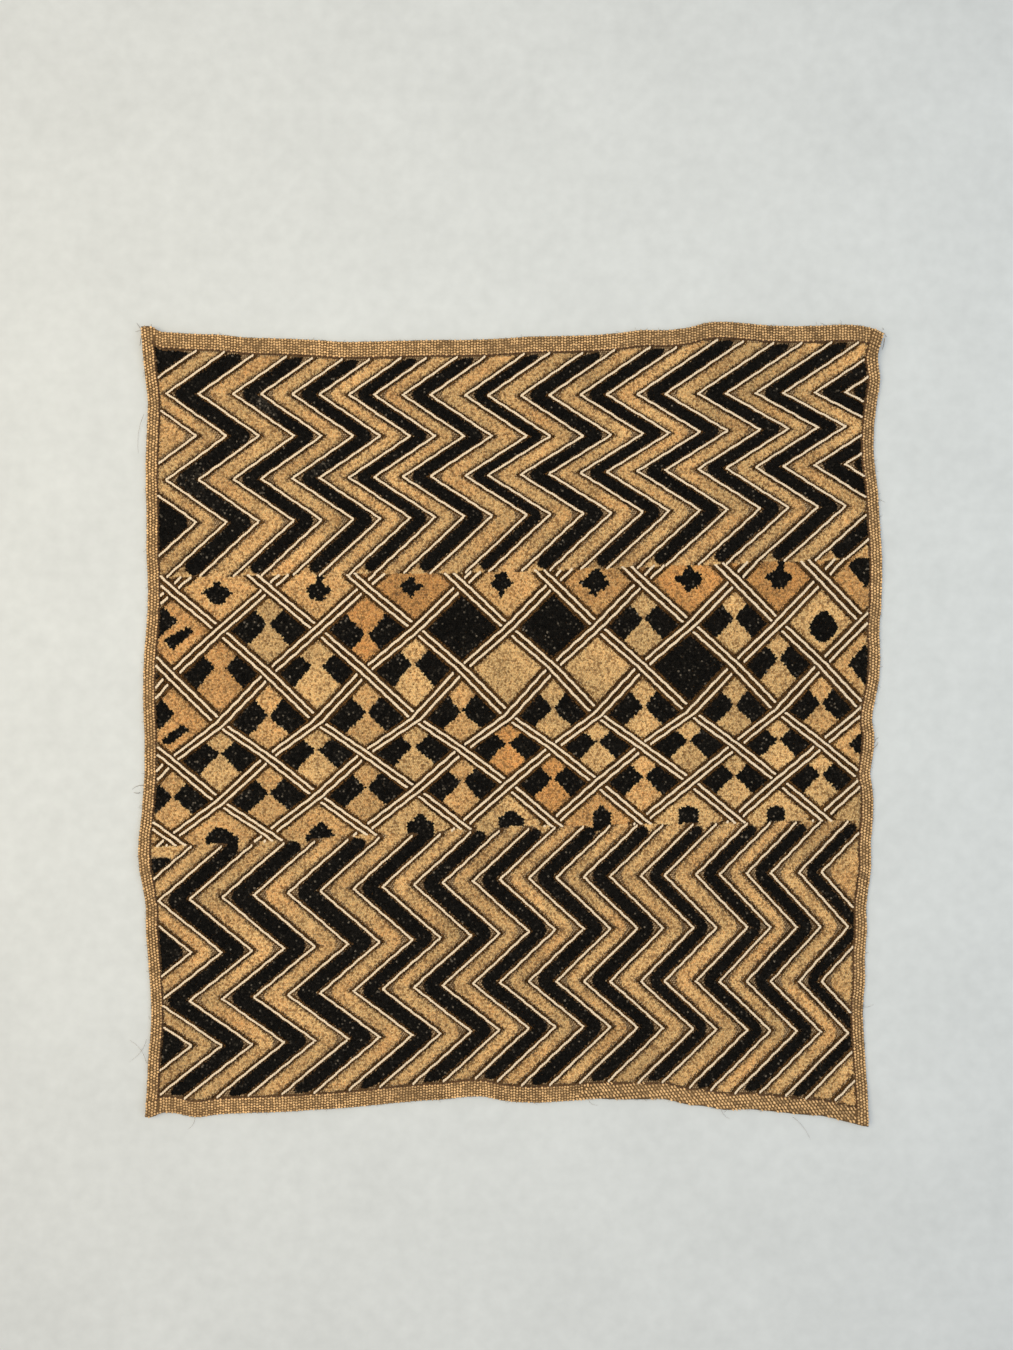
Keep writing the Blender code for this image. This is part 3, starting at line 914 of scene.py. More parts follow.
def ground_material(settings):
    material, tree, shader, place = new_material("raffia_ground", roughness=0.85, sheen=0.1, gloss=0.12)
    weave = use_group(tree, shared_group("Plain weave", weave_group), Position=place,
                      Repeat=WEAVE_REPEAT * MM)
    base = blend(tree, read(tree, "hem"), tuple(settings.field), tuple(settings.hem))
    # Darker along the edges where the woven strips meet: painted shade between the strips
    strip_gap_shade = math_node(tree, "MULTIPLY", math_node(tree, "SUBTRACT", 1.0, weave["Gap"]), 0.6)
    base = blend(tree, strip_gap_shade, base, tuple(settings.dark))
    link(tree, toned(tree, place, base, patch=22.0, fibre=700.0, strength=0.7), shader.inputs["Base Color"])
    bumped(tree, shader, weave["Height"], distance=0.0005, strength=0.8)
    return material


def pile_material(name, tip, foot, other, carried, roughness, sheen, patch, strength):
    """Cut pile: dark at the tufts' feet as painted shade deep in the pile, with another colour where the
    points carry it.
    """
    material, tree, shader, place = new_material(name, roughness, sheen, gloss=0.15)
    tips = blend(tree, read(tree, carried), tip, other)
    base = blend(tree, read(tree, "tone"), foot, tips)
    link(tree, toned(tree, place, base, patch, 900.0, strength), shader.inputs["Base Color"])
    strands = use_group(tree, shared_group("Raffia strands", strand_group), Position=place, Across=3500.0)
    bumped(tree, shader, strands["Height"], distance=0.0003, strength=0.5)
    return material


def stitch_material(name, base, dark, roughness, sheen, gloss, strength):
    """Stitched raffia: each stitch a little lighter or darker, and darker at its ends and sides where its
    points carry painted shade, with fine fibres.
    """
    material, tree, shader, place = new_material(name, roughness, sheen, gloss)
    stitch = blend(tree, read(tree, "tone"), dark, base)
    link(tree, toned(tree, place, stitch, 30.0, 1200.0, strength), shader.inputs["Base Color"])
    strands = use_group(tree, shared_group("Raffia strands", strand_group), Position=place, Across=5000.0)
    bumped(tree, shader, strands["Height"], distance=0.0002, strength=0.5)
    return material


def darker(base, amount):
    return tuple(c * amount for c in base[:3]) + (1.0,)


# Meshes


def rim_middle():
    """Middle of the outline's box, which is where the frame has its origin."""
    steps = np.linspace(0, 1, 400)
    xs = SIDE_EDGES[0][1] + steps * (SIDE_EDGES[0][2] - SIDE_EDGES[0][1])
    ys = SIDE_EDGES[-1][0] + steps * (SIDE_EDGES[0][0] - SIDE_EDGES[-1][0])
    low = np.array([left_x(ys).min(), bottom_y(xs).min()])
    high = np.array([right_x(ys).max(), top_y(xs).max()])
    return (low + high) / 2


def placed(points):
    """Points in millimetres from the outline's tables, as metres in the frame."""
    low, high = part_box(CLOTH_NODE)
    middle = rim_middle()
    shift = ((low[0] + high[0]) / 2 - middle[0] * MM, (low[1] + high[1]) / 2 - middle[1] * MM, low[2])
    return points * MM + np.array(shift)


def mesh_piece(name, points, faces, values, material, smooth_faces=False, uv_scale=None):
    """A piece made from points in millimetres, with named values on its points, that rides on the cloth."""
    mesh = bpy.data.meshes.new(name)
    count, corners = faces.shape
    mesh.vertices.add(len(points))
    mesh.vertices.foreach_set("co", placed(points).astype(np.float32).ravel())
    mesh.loops.add(count * corners)
    mesh.loops.foreach_set("vertex_index", faces.astype(np.int32).ravel())
    mesh.polygons.add(count)
    mesh.polygons.foreach_set("loop_start", np.arange(0, count * corners, corners, dtype=np.int32))
    mesh.polygons.foreach_set("use_smooth", np.full(count, smooth_faces))
    for value_name, numbers in values.items():
        attribute = mesh.attributes.new(value_name, "FLOAT", "POINT")
        attribute.data.foreach_set("value", np.asarray(numbers, np.float32))
    low, high = points[:, :2].min(axis=0), points[:, :2].max(axis=0)
    flat = (points[:, :2] - low) / (high - low)
    scale = np.ones(len(points)) if uv_scale is None else uv_scale
    flat = 0.5 + (flat - 0.5) * UV_FILL * scale[:, None]
    layer = mesh.uv_layers.new(name="OFBake")
    layer.data.foreach_set("uv", flat[faces.ravel()].astype(np.float32).ravel())
    mesh.update(calc_edges=True)
    mesh.validate()
    mesh.materials.append(material)
    piece = bpy.data.objects.new(name, mesh)
    bpy.context.scene.collection.objects.link(piece)
    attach(piece, BODY)
    return piece


def stations(total, hem, step):
    """Shares of a width at which the ground's mesh has its rows: close together at the hems."""
    edge = [0.0, 0.5, EDGE_ROUND, hem * 0.5, hem - SLOPE, hem, hem + SLOPE]
    inner = np.linspace(edge[-1], total - edge[-1], round((total - 2 * edge[-1]) / step))
    return np.concatenate([edge, inner[1:-1], [total - e for e in reversed(edge)]]) / total


def ground_heights(x, y, settings):
    """Thickness of the ground: thin in the field, double at the hems, rounded at the outer edge."""
    edge = inset(x, y)
    hem = np.clip(-edge / SLOPE, 0, 1)
    thick, hem_thick = settings.thick / MM, settings.hem_thick / MM
    height = thick + hem * (hem_thick - thick)
    side, end = side_inset(x, y) + SIDE_HEM, end_inset(x, y) + END_HEM
    outer = np.clip(np.minimum(side, end) / EDGE_ROUND, 0, 1)
    height -= (1 - np.sqrt(1 - (1 - outer) ** 2)) * EDGE_DEEP
    over = np.clip((SIDE_HEM - side) / SLOPE, 0, 1) * np.clip((END_HEM - end) / SLOPE, 0, 1)
    uneven = HEM_UNEVEN * hem * wobble(x, y, 15.0, 3)
    return height + CORNER_THICK * over * outer + uneven, hem


def make_ground(settings, material):
    """The ground as one closed sheet: its mesh rows are drawn between the uneven edges."""
    width = SIDE_EDGES[0][2] - SIDE_EDGES[0][1]
    tall = END_EDGES[0][1] - END_EDGES[0][2]
    step = settings.step / MM
    us, vs = stations(width, SIDE_HEM, step), stations(tall, END_HEM, step)
    u, v = np.meshgrid(us, vs)
    x, y = -width / 2 + u * width, -tall / 2 + v * tall
    for _ in range(8):
        x, y = (1 - u) * left_x(y) + u * right_x(y), (1 - v) * bottom_y(x) + v * top_y(x)
    ragged = (u == 0) | (u == 1) | (v == 0) | (v == 1)
    inward = 0.5 * (1 + wobble(x, y, 9.0, 5)) * ragged
    x = x + inward * (np.where(u == 0, 1, 0) - np.where(u == 1, 1, 0))
    y = y + inward * (np.where(v == 0, 1, 0) - np.where(v == 1, 1, 0))
    rows, cols = u.shape
    height, hem = ground_heights(x.ravel(), y.ravel(), settings)
    under = lift(x.ravel(), y.ravel())
    top = np.column_stack([x.ravel(), y.ravel(), under + height])
    bottom = np.column_stack([x.ravel(), y.ravel(), under])
    count = rows * cols
    a = (np.arange(rows - 1)[:, None] * cols + np.arange(cols - 1)).ravel()
    top_faces = np.column_stack([a, a + 1, a + cols + 1, a + cols])
    loop = np.concatenate([np.arange(cols - 1), np.arange(rows - 1) * cols + cols - 1,
                           (rows - 1) * cols + np.arange(cols - 1, 0, -1), np.arange(rows - 1, 0, -1) * cols])
    after = np.roll(loop, -1)
    skirt = np.column_stack([loop + count, after + count, after, loop])
    faces = np.concatenate([top_faces[:, ::-1] + count, skirt, top_faces])
    points = np.concatenate([top, bottom])
    scale = np.concatenate([np.ones(count), np.full(count, UNDERSIDE_FILL)])
    values = {"hem": np.concatenate([hem, np.full(count, 0.6)])}
    return mesh_piece("ground_with_hems", points, faces, values, material, True, scale)


def tuft_places(settings, chance):
    """Middles of the tufts on a staggered grid, with the pile's values at each."""
    pitch = settings.pitch / MM
    xs = np.arange(LEFT_MOST, RIGHT_MOST, pitch)
    ys = np.arange(BOTTOM_MOST, TOP_MOST, pitch * math.sqrt(0.75))
    x, y = np.meshgrid(xs, ys)
    x = x + pitch / 2 * (np.arange(len(ys))[:, None] % 2)
    x, y = x.ravel(), y.ravel()
    inside = inset(x, y) > 0
    x, y = x[inside], y[inside]
    kind, depth, warm, field = pile_at(x, y)
    keep = depth > TUFT_INSIDE
    x, y, kind, depth, warm, field = (a[keep] for a in (x, y, kind, depth, warm, field))
    x = x + chance.uniform(-TUFT_STRAY, TUFT_STRAY, len(x)) * pitch
    y = y + chance.uniform(-TUFT_STRAY, TUFT_STRAY, len(y)) * pitch
    return x, y, kind, depth, warm, field


def fading(x, y):
    """How faded the black pile is: most to the lower left, and at the worn places in the table."""
    faded = np.clip(0.55 - 0.0012 * x - 0.0012 * y, 0, 1)
    for cx, cy, reach, amount in WORN:
        faded = faded + amount * np.clip(1 - np.hypot(x - cx, y - cy) / reach, 0, 1)
    return faded


def tuft_mesh(x, y, depth, settings, ground, chance):
    """Points and faces of four-sided tufts that stand on the ground, lower at a band's edges."""
    count = len(x)
    half = settings.width / MM / math.sqrt(2) * chance.uniform(0.85, 1.15, count)
    half = half * np.clip(0.45 + 0.4 * depth, 0, 1)
    turn = chance.uniform(0, math.pi / 2, count)
    foot = ground.thick / MM + 0.7 * np.clip((depth - 1.0) / 0.8, 0, 1)
    tip = settings.top / MM - EDGE_DROP * np.exp(-depth / EDGE_REACH)
    tip = tip + settings.uneven / MM * chance.normal(0, 1, count)
    tip = tip + 0.10 * wobble(x, y, 12.0, 7)
    base = lift(x, y)
    corners = []
    for n in range(4):
        angle = turn + n * math.pi / 2
        corners.append(np.column_stack([x + half * np.cos(angle), y + half * np.sin(angle), base + foot]))
    lean = chance.uniform(-TIP_LEAN, TIP_LEAN, (count, 2))
    corners.append(np.column_stack([x + lean[:, 0], y + lean[:, 1], base + tip]))
    points = np.stack(corners, axis=1).reshape(-1, 3)
    first = np.arange(count)[:, None] * 5
    faces = np.concatenate([first + np.array(t) for t in ((0, 1, 4), (1, 2, 4), (2, 3, 4), (3, 0, 4))])
    return points, faces


def make_piles(settings, ground):
    chance = np.random.default_rng(SEED)
    x, y, kind, depth, warm, field = tuft_places(settings, chance)
    tan = pile_material("tan_pile", tuple(settings.tan), tuple(settings.tan_foot_shade), tuple(settings.orange),
                        "warm", roughness=0.62, sheen=0.3, patch=14.0, strength=0.75)
    black = pile_material("black_pile", tuple(settings.black), tuple(settings.black_foot_shade),
                          tuple(settings.speck), "speck", roughness=0.75, sheen=0.0, patch=20.0, strength=0.9)
    for code, colour_name, material in ((TAN, "tan", tan), (BLACK, "black", black)):
        for part, field_name in enumerate(("upper", "lattice", "lower")):
            here = (kind == code) & (field == part)
            count = int(here.sum())
            points, faces = tuft_mesh(x[here], y[here], depth[here], settings, ground, chance)
            clump = 0.08 * wobble(x[here], y[here], 4.5, 11)
            top_tone = TAN_TONE if code == TAN else BLACK_TONE
            bright = np.clip(chance.uniform(DARKEST_TUFT, top_tone, count) + clump, 0.05, 1.15)
            # A tuft's foot is darker than its tip: painted shade deep in the pile
            tone = np.column_stack([np.tile(bright[:, None] * FOOT_SHADE, (1, 4)), bright]).ravel()
            if code == TAN:
                carried = {"warm": np.repeat(np.clip(warm[here] + chance.normal(0, 0.15, count), 0, 1), 5)}
            else:
                faded = settings.specks * (1 + 1.2 * fading(x[here], y[here]))
                faded = faded * (LATTICE_SPECKS if field_name == "lattice" else 1)
                draw = chance.random(count)
                brownish = 0.35 * np.clip(1 - (draw - faded) / (6 * faded), 0, 1) ** 2
                speck = np.where(draw < faded, 1.0, brownish)
                carried = {"speck": np.repeat(speck, 5)}
            mesh_piece(f"{colour_name}_pile_{field_name}", points, faces, {"tone": tone, **carried}, material)


def along(line, pitch):
    """Middles of stitches along a line of points, with the line's direction at each."""
    points = np.array(line)
    steps = np.hypot(*np.diff(points, axis=0).T)
    at = np.concatenate([[0], np.cumsum(steps)])
    where = np.arange(pitch / 2, at[-1], pitch)
    x, y = np.interp(where, at, points[:, 0]), np.interp(where, at, points[:, 1])
    part = np.clip(np.searchsorted(at, where) - 1, 0, len(steps) - 1)
    way = np.diff(points, axis=0)[part]
    return np.column_stack([x, y, np.arctan2(way[:, 1], way[:, 0])])


def shifted(line, by):
    return [(x + by, y) for x, y in line]


def chevron_stitches(offsets, pitch):
    """Stitches of the chevron fields' lines. offsets(n) gives a line's shifts sideways."""
    found = []
    for upper, lines in ((True, UPPER), (False, LOWER)):
        for n, line in enumerate(lines):
            for by in offsets(n):
                marks = along(shifted(line, by), pitch)
                x, y = marks[:, 0], marks[:, 1]
                inside = (y > upper_end(x) - 0.5) if upper else (y < lower_end(x) + 0.5)
                found.append(marks[shown(upper, n, y) & inside & (inset(x, y) > 0.4)])
    return np.concatenate(found)


def lattice_stitches(offsets, pitch):
    """Stitches of the lattice's bands, left out where a band passes under another."""
    found = []
    for lines, others, over in ((FALLING, RISING, 0), (RISING, FALLING, 1)):
        for line in lines:
            for by in offsets:
                marks = along(shifted(line, by), pitch)
                x, y = marks[:, 0], marks[:, 1]
                inside = (y < upper_end(x) + 0.5) & (y > lower_end(x) - 0.5) & (inset(x, y) > 0.4)
                crossing = np.abs(np.array([line_x(other, y) for other in others]) - x).min(axis=0)
                rows = np.array([across(heights, x) for heights in LATTICE_ROWS])
                nearest = np.abs(rows - y).argmin(axis=0) - 1
                under = (nearest % 2 != over) & (crossing < UNDER_STOPS)
                found.append(marks[inside & ~under])
    return np.concatenate(found)


def grain_mesh(marks, size, slant, foot, chance, closed=True, tones=PLAIN_TONES, shoulder=0.0):
    """Points and faces of slanted grains, one for each stitch. size is (length, width, height), and tones
    is the range that a grain's brightness is drawn from and the share of it at its ends and sides, where a
    share below one is painted shade between the stitches. A grain keeps its width from its middle to
    shoulder, a share of its half length, and narrows from there."""
    count = len(marks)
    x, y, way = marks.T
    angle = way + slant + chance.normal(0, 0.06, count)
    x = x - 0.35 * np.sin(way) * wobble(x, y, 14.0, 1)
    y = y + 0.35 * np.cos(way) * wobble(x, y, 14.0, 1)
    half = size[0] / 2 * chance.uniform(0.88, 1.12, count)
    wide = size[1] / 2 * chance.uniform(0.88, 1.12, count)
    base = lift(x, y) + foot
    top = base + size[2] * chance.uniform(0.85, 1.15, count)
    low, middle = base + 0.25 * size[2], base + 0.45 * size[2]
    along_x, along_y = np.cos(angle) * half, np.sin(angle) * half
    across_x, across_y = -np.sin(angle) * wide, np.cos(angle) * wide
    if shoulder:
        ring = ((1, 0), (shoulder, 1), (-shoulder, 1), (-1, 0), (-shoulder, -1), (shoulder, -1))
    else:
        ring = ((1, 0), (0, 1), (-1, 0), (0, -1))
    corners = [np.column_stack([x + a * along_x + c * across_x, y + a * along_y + c * across_y,
                                middle if c else low]) for a, c in ring]
    corners.append(np.column_stack([x, y, top]))
    last = len(ring)
    sides = [(n, (n + 1) % last, last) for n in range(last)]
    if closed:
        corners.append(np.column_stack([x, y, base - 0.1]))
        sides += [((n + 1) % last, n, last + 1) for n in range(last)]
    points = np.stack(corners, axis=1).reshape(-1, 3)
    first = np.arange(count)[:, None] * len(corners)
    faces = np.concatenate([first + np.array(t) for t in sides])
    bright = chance.uniform(tones[0], tones[1], count)
    tone = np.repeat(bright[:, None], len(corners), axis=1)
    # A grain's ends and sides are darker than its top: painted shade between neighbouring stitches
    for n, (a, c) in enumerate(ring):
        tone[:, n] *= tones[3] if c else tones[2]
    return points, faces, {"tone": tone.ravel()}


def make_lines(settings, ground):
    chance = np.random.default_rng(SEED + 1)
    foot = ground.thick / MM
    # Each stitch material's darker colour shows on the darker stitches, and at the stitches' ends and sides
    # as painted shade
    cream = stitch_material("cream_raffia", tuple(settings.cream), darker(settings.cream, 0.4),
                            roughness=0.6, sheen=0.2, gloss=0.15, strength=0.08)
    brown = stitch_material("brown_raffia", tuple(settings.brown), darker(settings.brown, 0.10),
                            roughness=0.85, sheen=0.0, gloss=0.08, strength=0.9)
    pitch = settings.cream_pitch / MM
    long, wide = settings.cream_length / MM, settings.cream_width / MM
    stitches = (
        (chevron_stitches(lambda n: (0.0,), pitch), wide, CREAM_SLANT),
        (lattice_stitches((-BAND_CREAM, BAND_CREAM), pitch), wide * LATTICE_CREAM, LATTICE_SLANT),
    )
    grains = [grain_mesh(marks, (long, width, CREAM_TALL), slant, foot + CREAM_LIFT, chance, closed=False,
                         tones=CREAM_TONES, shoulder=CREAM_SHOULDER) for marks, width, slant in stitches]
    mesh_piece("cream_lines", *joined(*grains), cream, True)
    pitch = settings.brown_pitch / MM
    size = (settings.brown_length / MM, settings.brown_width / MM, BROWN_TALL)
    outer_size = (long, wide * LATTICE_BROWN, BROWN_TALL)
    tan_side = (CREAM_HALF + BROWN_WIDE / 2) / CHEVRON_SINE
    black_side = (CREAM_HALF + DARK_WIDE / 2) / CHEVRON_SINE
    sides = ((-tan_side, black_side), (tan_side, -black_side))
    stitches = (
        (chevron_stitches(lambda n: sides[n % 2], pitch), size, foot, DARK_TONES),
        (lattice_stitches((-BAND_BROWN, BAND_BROWN), pitch), outer_size, foot, DARK_TONES),
        (lattice_stitches((-BAND_MIDDLE, BAND_MIDDLE), pitch), size, foot + MIDDLE_LIFT, MIDDLE_TONES),
    )
    beside, outer, middle = [grain_mesh(marks, grain, BROWN_SLANT, height, chance, tones=tones)
                             for marks, grain, height, tones in stitches]
    mesh_piece("brown_chevron_lines", *beside, brown, True)
    mesh_piece("brown_lattice_lines", *joined(outer, middle), brown, True)


def joined(*parts):
    """Several sets of points, faces and values as one."""
    first = np.cumsum([0] + [len(points) for points, faces, values in parts])
    points = np.concatenate([part[0] for part in parts])
    faces = np.concatenate([part[1] + start for part, start in zip(parts, first)])
    return points, faces, {name: np.concatenate([part[2][name] for part in parts]) for name in parts[0][2]}


def side_hem_marks():
    """Middles of the side hems' woven beads, in ribs that follow the edge."""
    count, first, apart, pitch = SIDE_ROWS
    y, rib = np.meshgrid(np.arange(BOTTOM_MOST, TOP_MOST, pitch), np.arange(count))
    y = (y + pitch / 2 * (rib % 2)).ravel()
    inward = (first + apart * rib).ravel()
    x = np.concatenate([left_x(y) + inward, right_x(y) - inward])
    y = np.tile(y, 2)
    inside = end_inset(x, y) > -END_HEM + RIM_MARGIN
    return np.column_stack([x, y, np.full(len(x), math.pi / 2)])[inside]


def on_slant(x, y):
    """Whether a point is beside the part of the bottom hem that is woven on the slant."""
    return (y < 0) & (x > HEM_SLANT_FROM + HEM_SLANT_LEAN * (y - HEM_SLANT_AT))


def end_hem_marks():
    """Middles of the end hems' woven beads, in rows that follow the edge."""
    count, first, apart, pitch = END_ROWS
    x, row = np.meshgrid(np.arange(LEFT_MOST, RIGHT_MOST, pitch), np.arange(count))
    inward = (first + apart * row + END_STAGGER * (np.arange(x.shape[1]) % 2)).ravel()
    x = x.ravel()
    y = np.concatenate([top_y(x) - inward, bottom_y(x) + inward])
    x = np.tile(x, 2)
    inside = (side_inset(x, y) > SIDE_MARGIN) & ~on_slant(x, y)
    return np.column_stack([x, y, np.full(len(x), math.pi / 2)])[inside]


def slanted_hem_marks():
    """Middles of the beads in the part of the bottom hem that is woven on the slant."""
    run, row = np.meshgrid(np.arange(-SLANTED_REACH, SLANTED_REACH, SLANTED_PITCH),
                           np.arange(-SLANTED_REACH, SLANTED_REACH, SLANTED_APART))
    run = run + SLANTED_PITCH / 2 * (np.arange(run.shape[0])[:, None] % 2)
    x = (run * math.cos(HEM_SLANT) - row * math.sin(HEM_SLANT)).ravel()
    y = (run * math.sin(HEM_SLANT) + row * math.cos(HEM_SLANT)).ravel()
    near = on_slant(x, y) & (x < RIGHT_MOST) & (y > BOTTOM_MOST)
    x, y = x[near], y[near]
    end = end_inset(x, y)
    inside = (side_inset(x, y) > SIDE_MARGIN) & (end < -FIELD_MARGIN) & (end > -END_HEM + RIM_MARGIN)
    return np.column_stack([x, y, np.full(len(x), HEM_SLANT)])[inside]


def make_hem_weave(settings, ground):
    chance = np.random.default_rng(SEED + 2)
    # The darker colour shows on the darker beads, and at the beads' ends and sides as painted shade
    material = stitch_material("hem_raffia", tuple(settings.hem), darker(ground.hem, 0.7),
                               roughness=0.65, sheen=0.1, gloss=0.2, strength=0.8)
    grains = []
    for marks, size, tones in ((end_hem_marks(), END_BEAD, HEM_TONES),
                               (slanted_hem_marks(), SLANTED_BEAD, SLANTED_TONES),
                               (side_hem_marks(), SIDE_BEAD, HEM_TONES)):
        foot = ground_heights(marks[:, 0], marks[:, 1], ground)[0] - 0.30
        grains.append(grain_mesh(marks, size, 0.0, foot, chance, closed=False, tones=tones))
    mesh_piece("end_hem_weave", *joined(*grains[:2]), material, True)
    mesh_piece("side_hem_weave", *grains[2], material, True)


def make_bare_weave(settings, ground):
    """The ground's own weave where no pile and no line covers it: in the turns and at the bands' ends."""
    chance = np.random.default_rng(SEED + 3)
    x, y = np.meshgrid(np.arange(LEFT_MOST, RIGHT_MOST, BARE_PITCH[0]),
                       np.arange(BOTTOM_MOST, TOP_MOST, BARE_PITCH[1]))
    x = x + BARE_PITCH[0] / 2 * (np.arange(x.shape[0])[:, None] % 2)
    x, y = x.ravel(), y.ravel()
    inside = inset(x, y) > 0
    x, y = x[inside], y[inside]
    kind, depth, warm, field = pile_at(x, y)
    bare = (depth < BARE_UNDER) & ((field != 1) | (inset(x, y) < BARE_RIM))
    for lines, part in ((UPPER, 0), (LOWER, 2)):
        near = np.abs(np.array([line_x(line, y) for line in lines]) - x).min(axis=0) * CHEVRON_SINE
        bare &= (field != part) | (near > LINE_CLEAR)
    marks = np.column_stack([x[bare], y[bare], chance.uniform(0.3, 1.2, int(bare.sum()))])
    material = stitch_material("bare_raffia", tuple(settings.bare), tuple(settings.bare_dark),
                               roughness=0.7, sheen=0.1, gloss=0.2, strength=0.9)
    beads = grain_mesh(marks, BARE_BEAD, 0.0, ground.thick / MM - 0.2, chance, closed=False)
    mesh_piece("bare_weave", *beads, material, True)


def make_hem_stitches(settings, ground):
    """Running stitches that hold each hem down along its inner edge."""
    chance = np.random.default_rng(SEED + 4)
    xs = np.arange(SIDE_EDGES[0][1] + SIDE_HEM, SIDE_EDGES[0][2] - SIDE_HEM, 1.0)
    ys = np.arange(BOTTOM_MOST + END_HEM, TOP_MOST - END_HEM, 1.0)
    sides = (
        np.column_stack([xs, top_y(xs) - END_HEM + HEM_STITCH_OUT]),
        np.column_stack([xs, bottom_y(xs) + END_HEM - HEM_STITCH_OUT]),
        np.column_stack([left_x(ys) + SIDE_HEM - HEM_STITCH_OUT, ys]),
        np.column_stack([right_x(ys) - SIDE_HEM + HEM_STITCH_OUT, ys]),
    )
    marks = np.concatenate([along(side, HEM_STITCH_PITCH) for side in sides])
    x, y = marks[:, 0], marks[:, 1]
    marks = marks[(side_inset(x, y) > -HEM_STITCH_PAST) & (end_inset(x, y) > -HEM_STITCH_PAST)]
    foot = ground_heights(marks[:, 0], marks[:, 1], ground)[0]
    # The darker colour shows at the stitches' ends and sides as painted shade
    material = stitch_material("hem_thread", tuple(settings.thread), darker(settings.thread, 0.4),
                               roughness=0.6, sheen=0.1, gloss=0.25, strength=0.6)
    mesh_piece("hem_stitches", *grain_mesh(marks, HEM_STITCH, 0.12, foot - 0.15, chance), material, True)


def strand(start, way, long, curl, thick, chance):
    """Points and faces of one loose end: a thin three-sided strand that tapers and sinks to the floor."""
    steps = STRAND_STEPS
    share_out = np.linspace(0, 1, steps)
    angle = way + curl * share_out
    x = start[0] + np.concatenate([[0], np.cumsum(np.cos(angle[:-1]))]) * long / (steps - 1)
    y = start[1] + np.concatenate([[0], np.cumsum(np.sin(angle[:-1]))]) * long / (steps - 1)
    on_cloth = np.minimum(side_inset(x, y) + SIDE_HEM, end_inset(x, y) + END_HEM) > 0
    rest = np.where(on_cloth, lift(x, y) + STRAND_ON_CLOTH, thick)
    hang = start[2] * (1 - share_out) ** 1.5
    z = np.maximum(rest, hang + thick) + 0.5 * chance.random() * np.sin(math.pi * share_out)
    width = thick * (1 - STRAND_TAPER * share_out)
    ring = []
    for n in range(3):
        turn = 2 * math.pi * n / 3 + math.pi / 2
        ring.append(np.column_stack([x - np.sin(angle) * width * math.cos(turn),
                                     y + np.cos(angle) * width * math.cos(turn), z + width * math.sin(turn)]))
    points = np.stack(ring, axis=1).reshape(-1, 3)
    faces = []
    for n in range(steps - 1):
        for m in range(3):
            a, b = 3 * n + m, 3 * n + (m + 1) % 3
            faces += [(a, a + 3, b), (b, a + 3, b + 3)]
    faces += [(0, 1, 2), (3 * steps - 1, 3 * steps - 2, 3 * steps - 3)]
    return points, np.array(faces)


def make_loose_ends(settings):
    """The long hairs of the photograph, and short fibres that stand out all round the rim."""
    chance = np.random.default_rng(SEED + 5)
    strands = [(x, y, math.radians(way), long, math.radians(curl), thick)
               for x, y, way, long, curl, thick in LOOSE_ENDS]
    for x in chance.uniform(*END_FIBRES):
        up = chance.random() < 0.5
        y = float(top_y(x)) - 0.6 if up else float(bottom_y(x)) + 0.6
        strands.append((x, y, (1 if up else -1) * chance.uniform(0.2, 2.9), chance.uniform(*FIBRE_LONG),
                        chance.uniform(*FIBRE_CURL), FIBRE_THICK))
    for y in chance.uniform(*SIDE_FIBRES):
        left = chance.random() < 0.6
        x = float(left_x(y)) + 0.6 if left else float(right_x(y)) - 0.6
        strands.append((x, y, (math.pi if left else 0) + chance.uniform(-1.3, 1.3),
                        chance.uniform(*FIBRE_LONG), chance.uniform(*FIBRE_CURL), FIBRE_THICK))
    parts, faces, first = [], [], 0
    for x, y, way, long, curl, thick in strands:
        top = float(lift(x, y)) + STRAND_ROOT
        points, sides = strand((x, y, top), way, long, curl, thick, chance)
        parts.append(points)
        faces.append(sides + first)
        first += len(points)
    points = np.concatenate(parts)
    material = stitch_material("loose_raffia", tuple(settings.loose), tuple(settings.loose_dark),
                               roughness=0.6, sheen=0.1, gloss=0.25, strength=0.6)
    tones = {"tone": chance.random(len(points))}
    mesh_piece("loose_ends", points, np.concatenate(faces), tones, material, True)


class KubaOperator:
    bl_options = {"REGISTER", "UNDO"}


class KUBA_OT_ground(KubaOperator, bpy.types.Operator):
    """Make the woven ground with its four turned hems"""

    bl_idname = "kuba.ground"
    bl_label = "Ground and hems"

    def execute(self, context):
        settings = context.scene.kuba_ground
        ground = make_ground(settings, ground_material(settings))
        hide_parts(CLOTH_NODE)
        return {"FINISHED"}


class KUBA_OT_pile(KubaOperator, bpy.types.Operator):
    """Make the tan and black cut pile, tuft by tuft"""

    bl_idname = "kuba.pile"
    bl_label = "Cut pile"

    def execute(self, context):
        make_piles(context.scene.kuba_pile, context.scene.kuba_ground)
        return {"FINISHED"}


class KUBA_OT_lines(KubaOperator, bpy.types.Operator):
    """Make the cream and brown stitched lines"""

    bl_idname = "kuba.lines"
    bl_label = "Stitched lines"

    def execute(self, context):
        make_lines(context.scene.kuba_stitch, context.scene.kuba_ground)
        return {"FINISHED"}


class KUBA_OT_hem_weave(KubaOperator, bpy.types.Operator):
    """Make the woven beads of the hems"""

    bl_idname = "kuba.hem_weave"
    bl_label = "Hem weave"

    def execute(self, context):
        make_hem_weave(context.scene.kuba_stitch, context.scene.kuba_ground)
        return {"FINISHED"}


class KUBA_OT_bare_weave(KubaOperator, bpy.types.Operator):
    """Make the ground's weave where nothing is worked over it"""

    bl_idname = "kuba.bare_weave"
    bl_label = "Bare weave"

    def execute(self, context):
        make_bare_weave(context.scene.kuba_stitch, context.scene.kuba_ground)
        return {"FINISHED"}


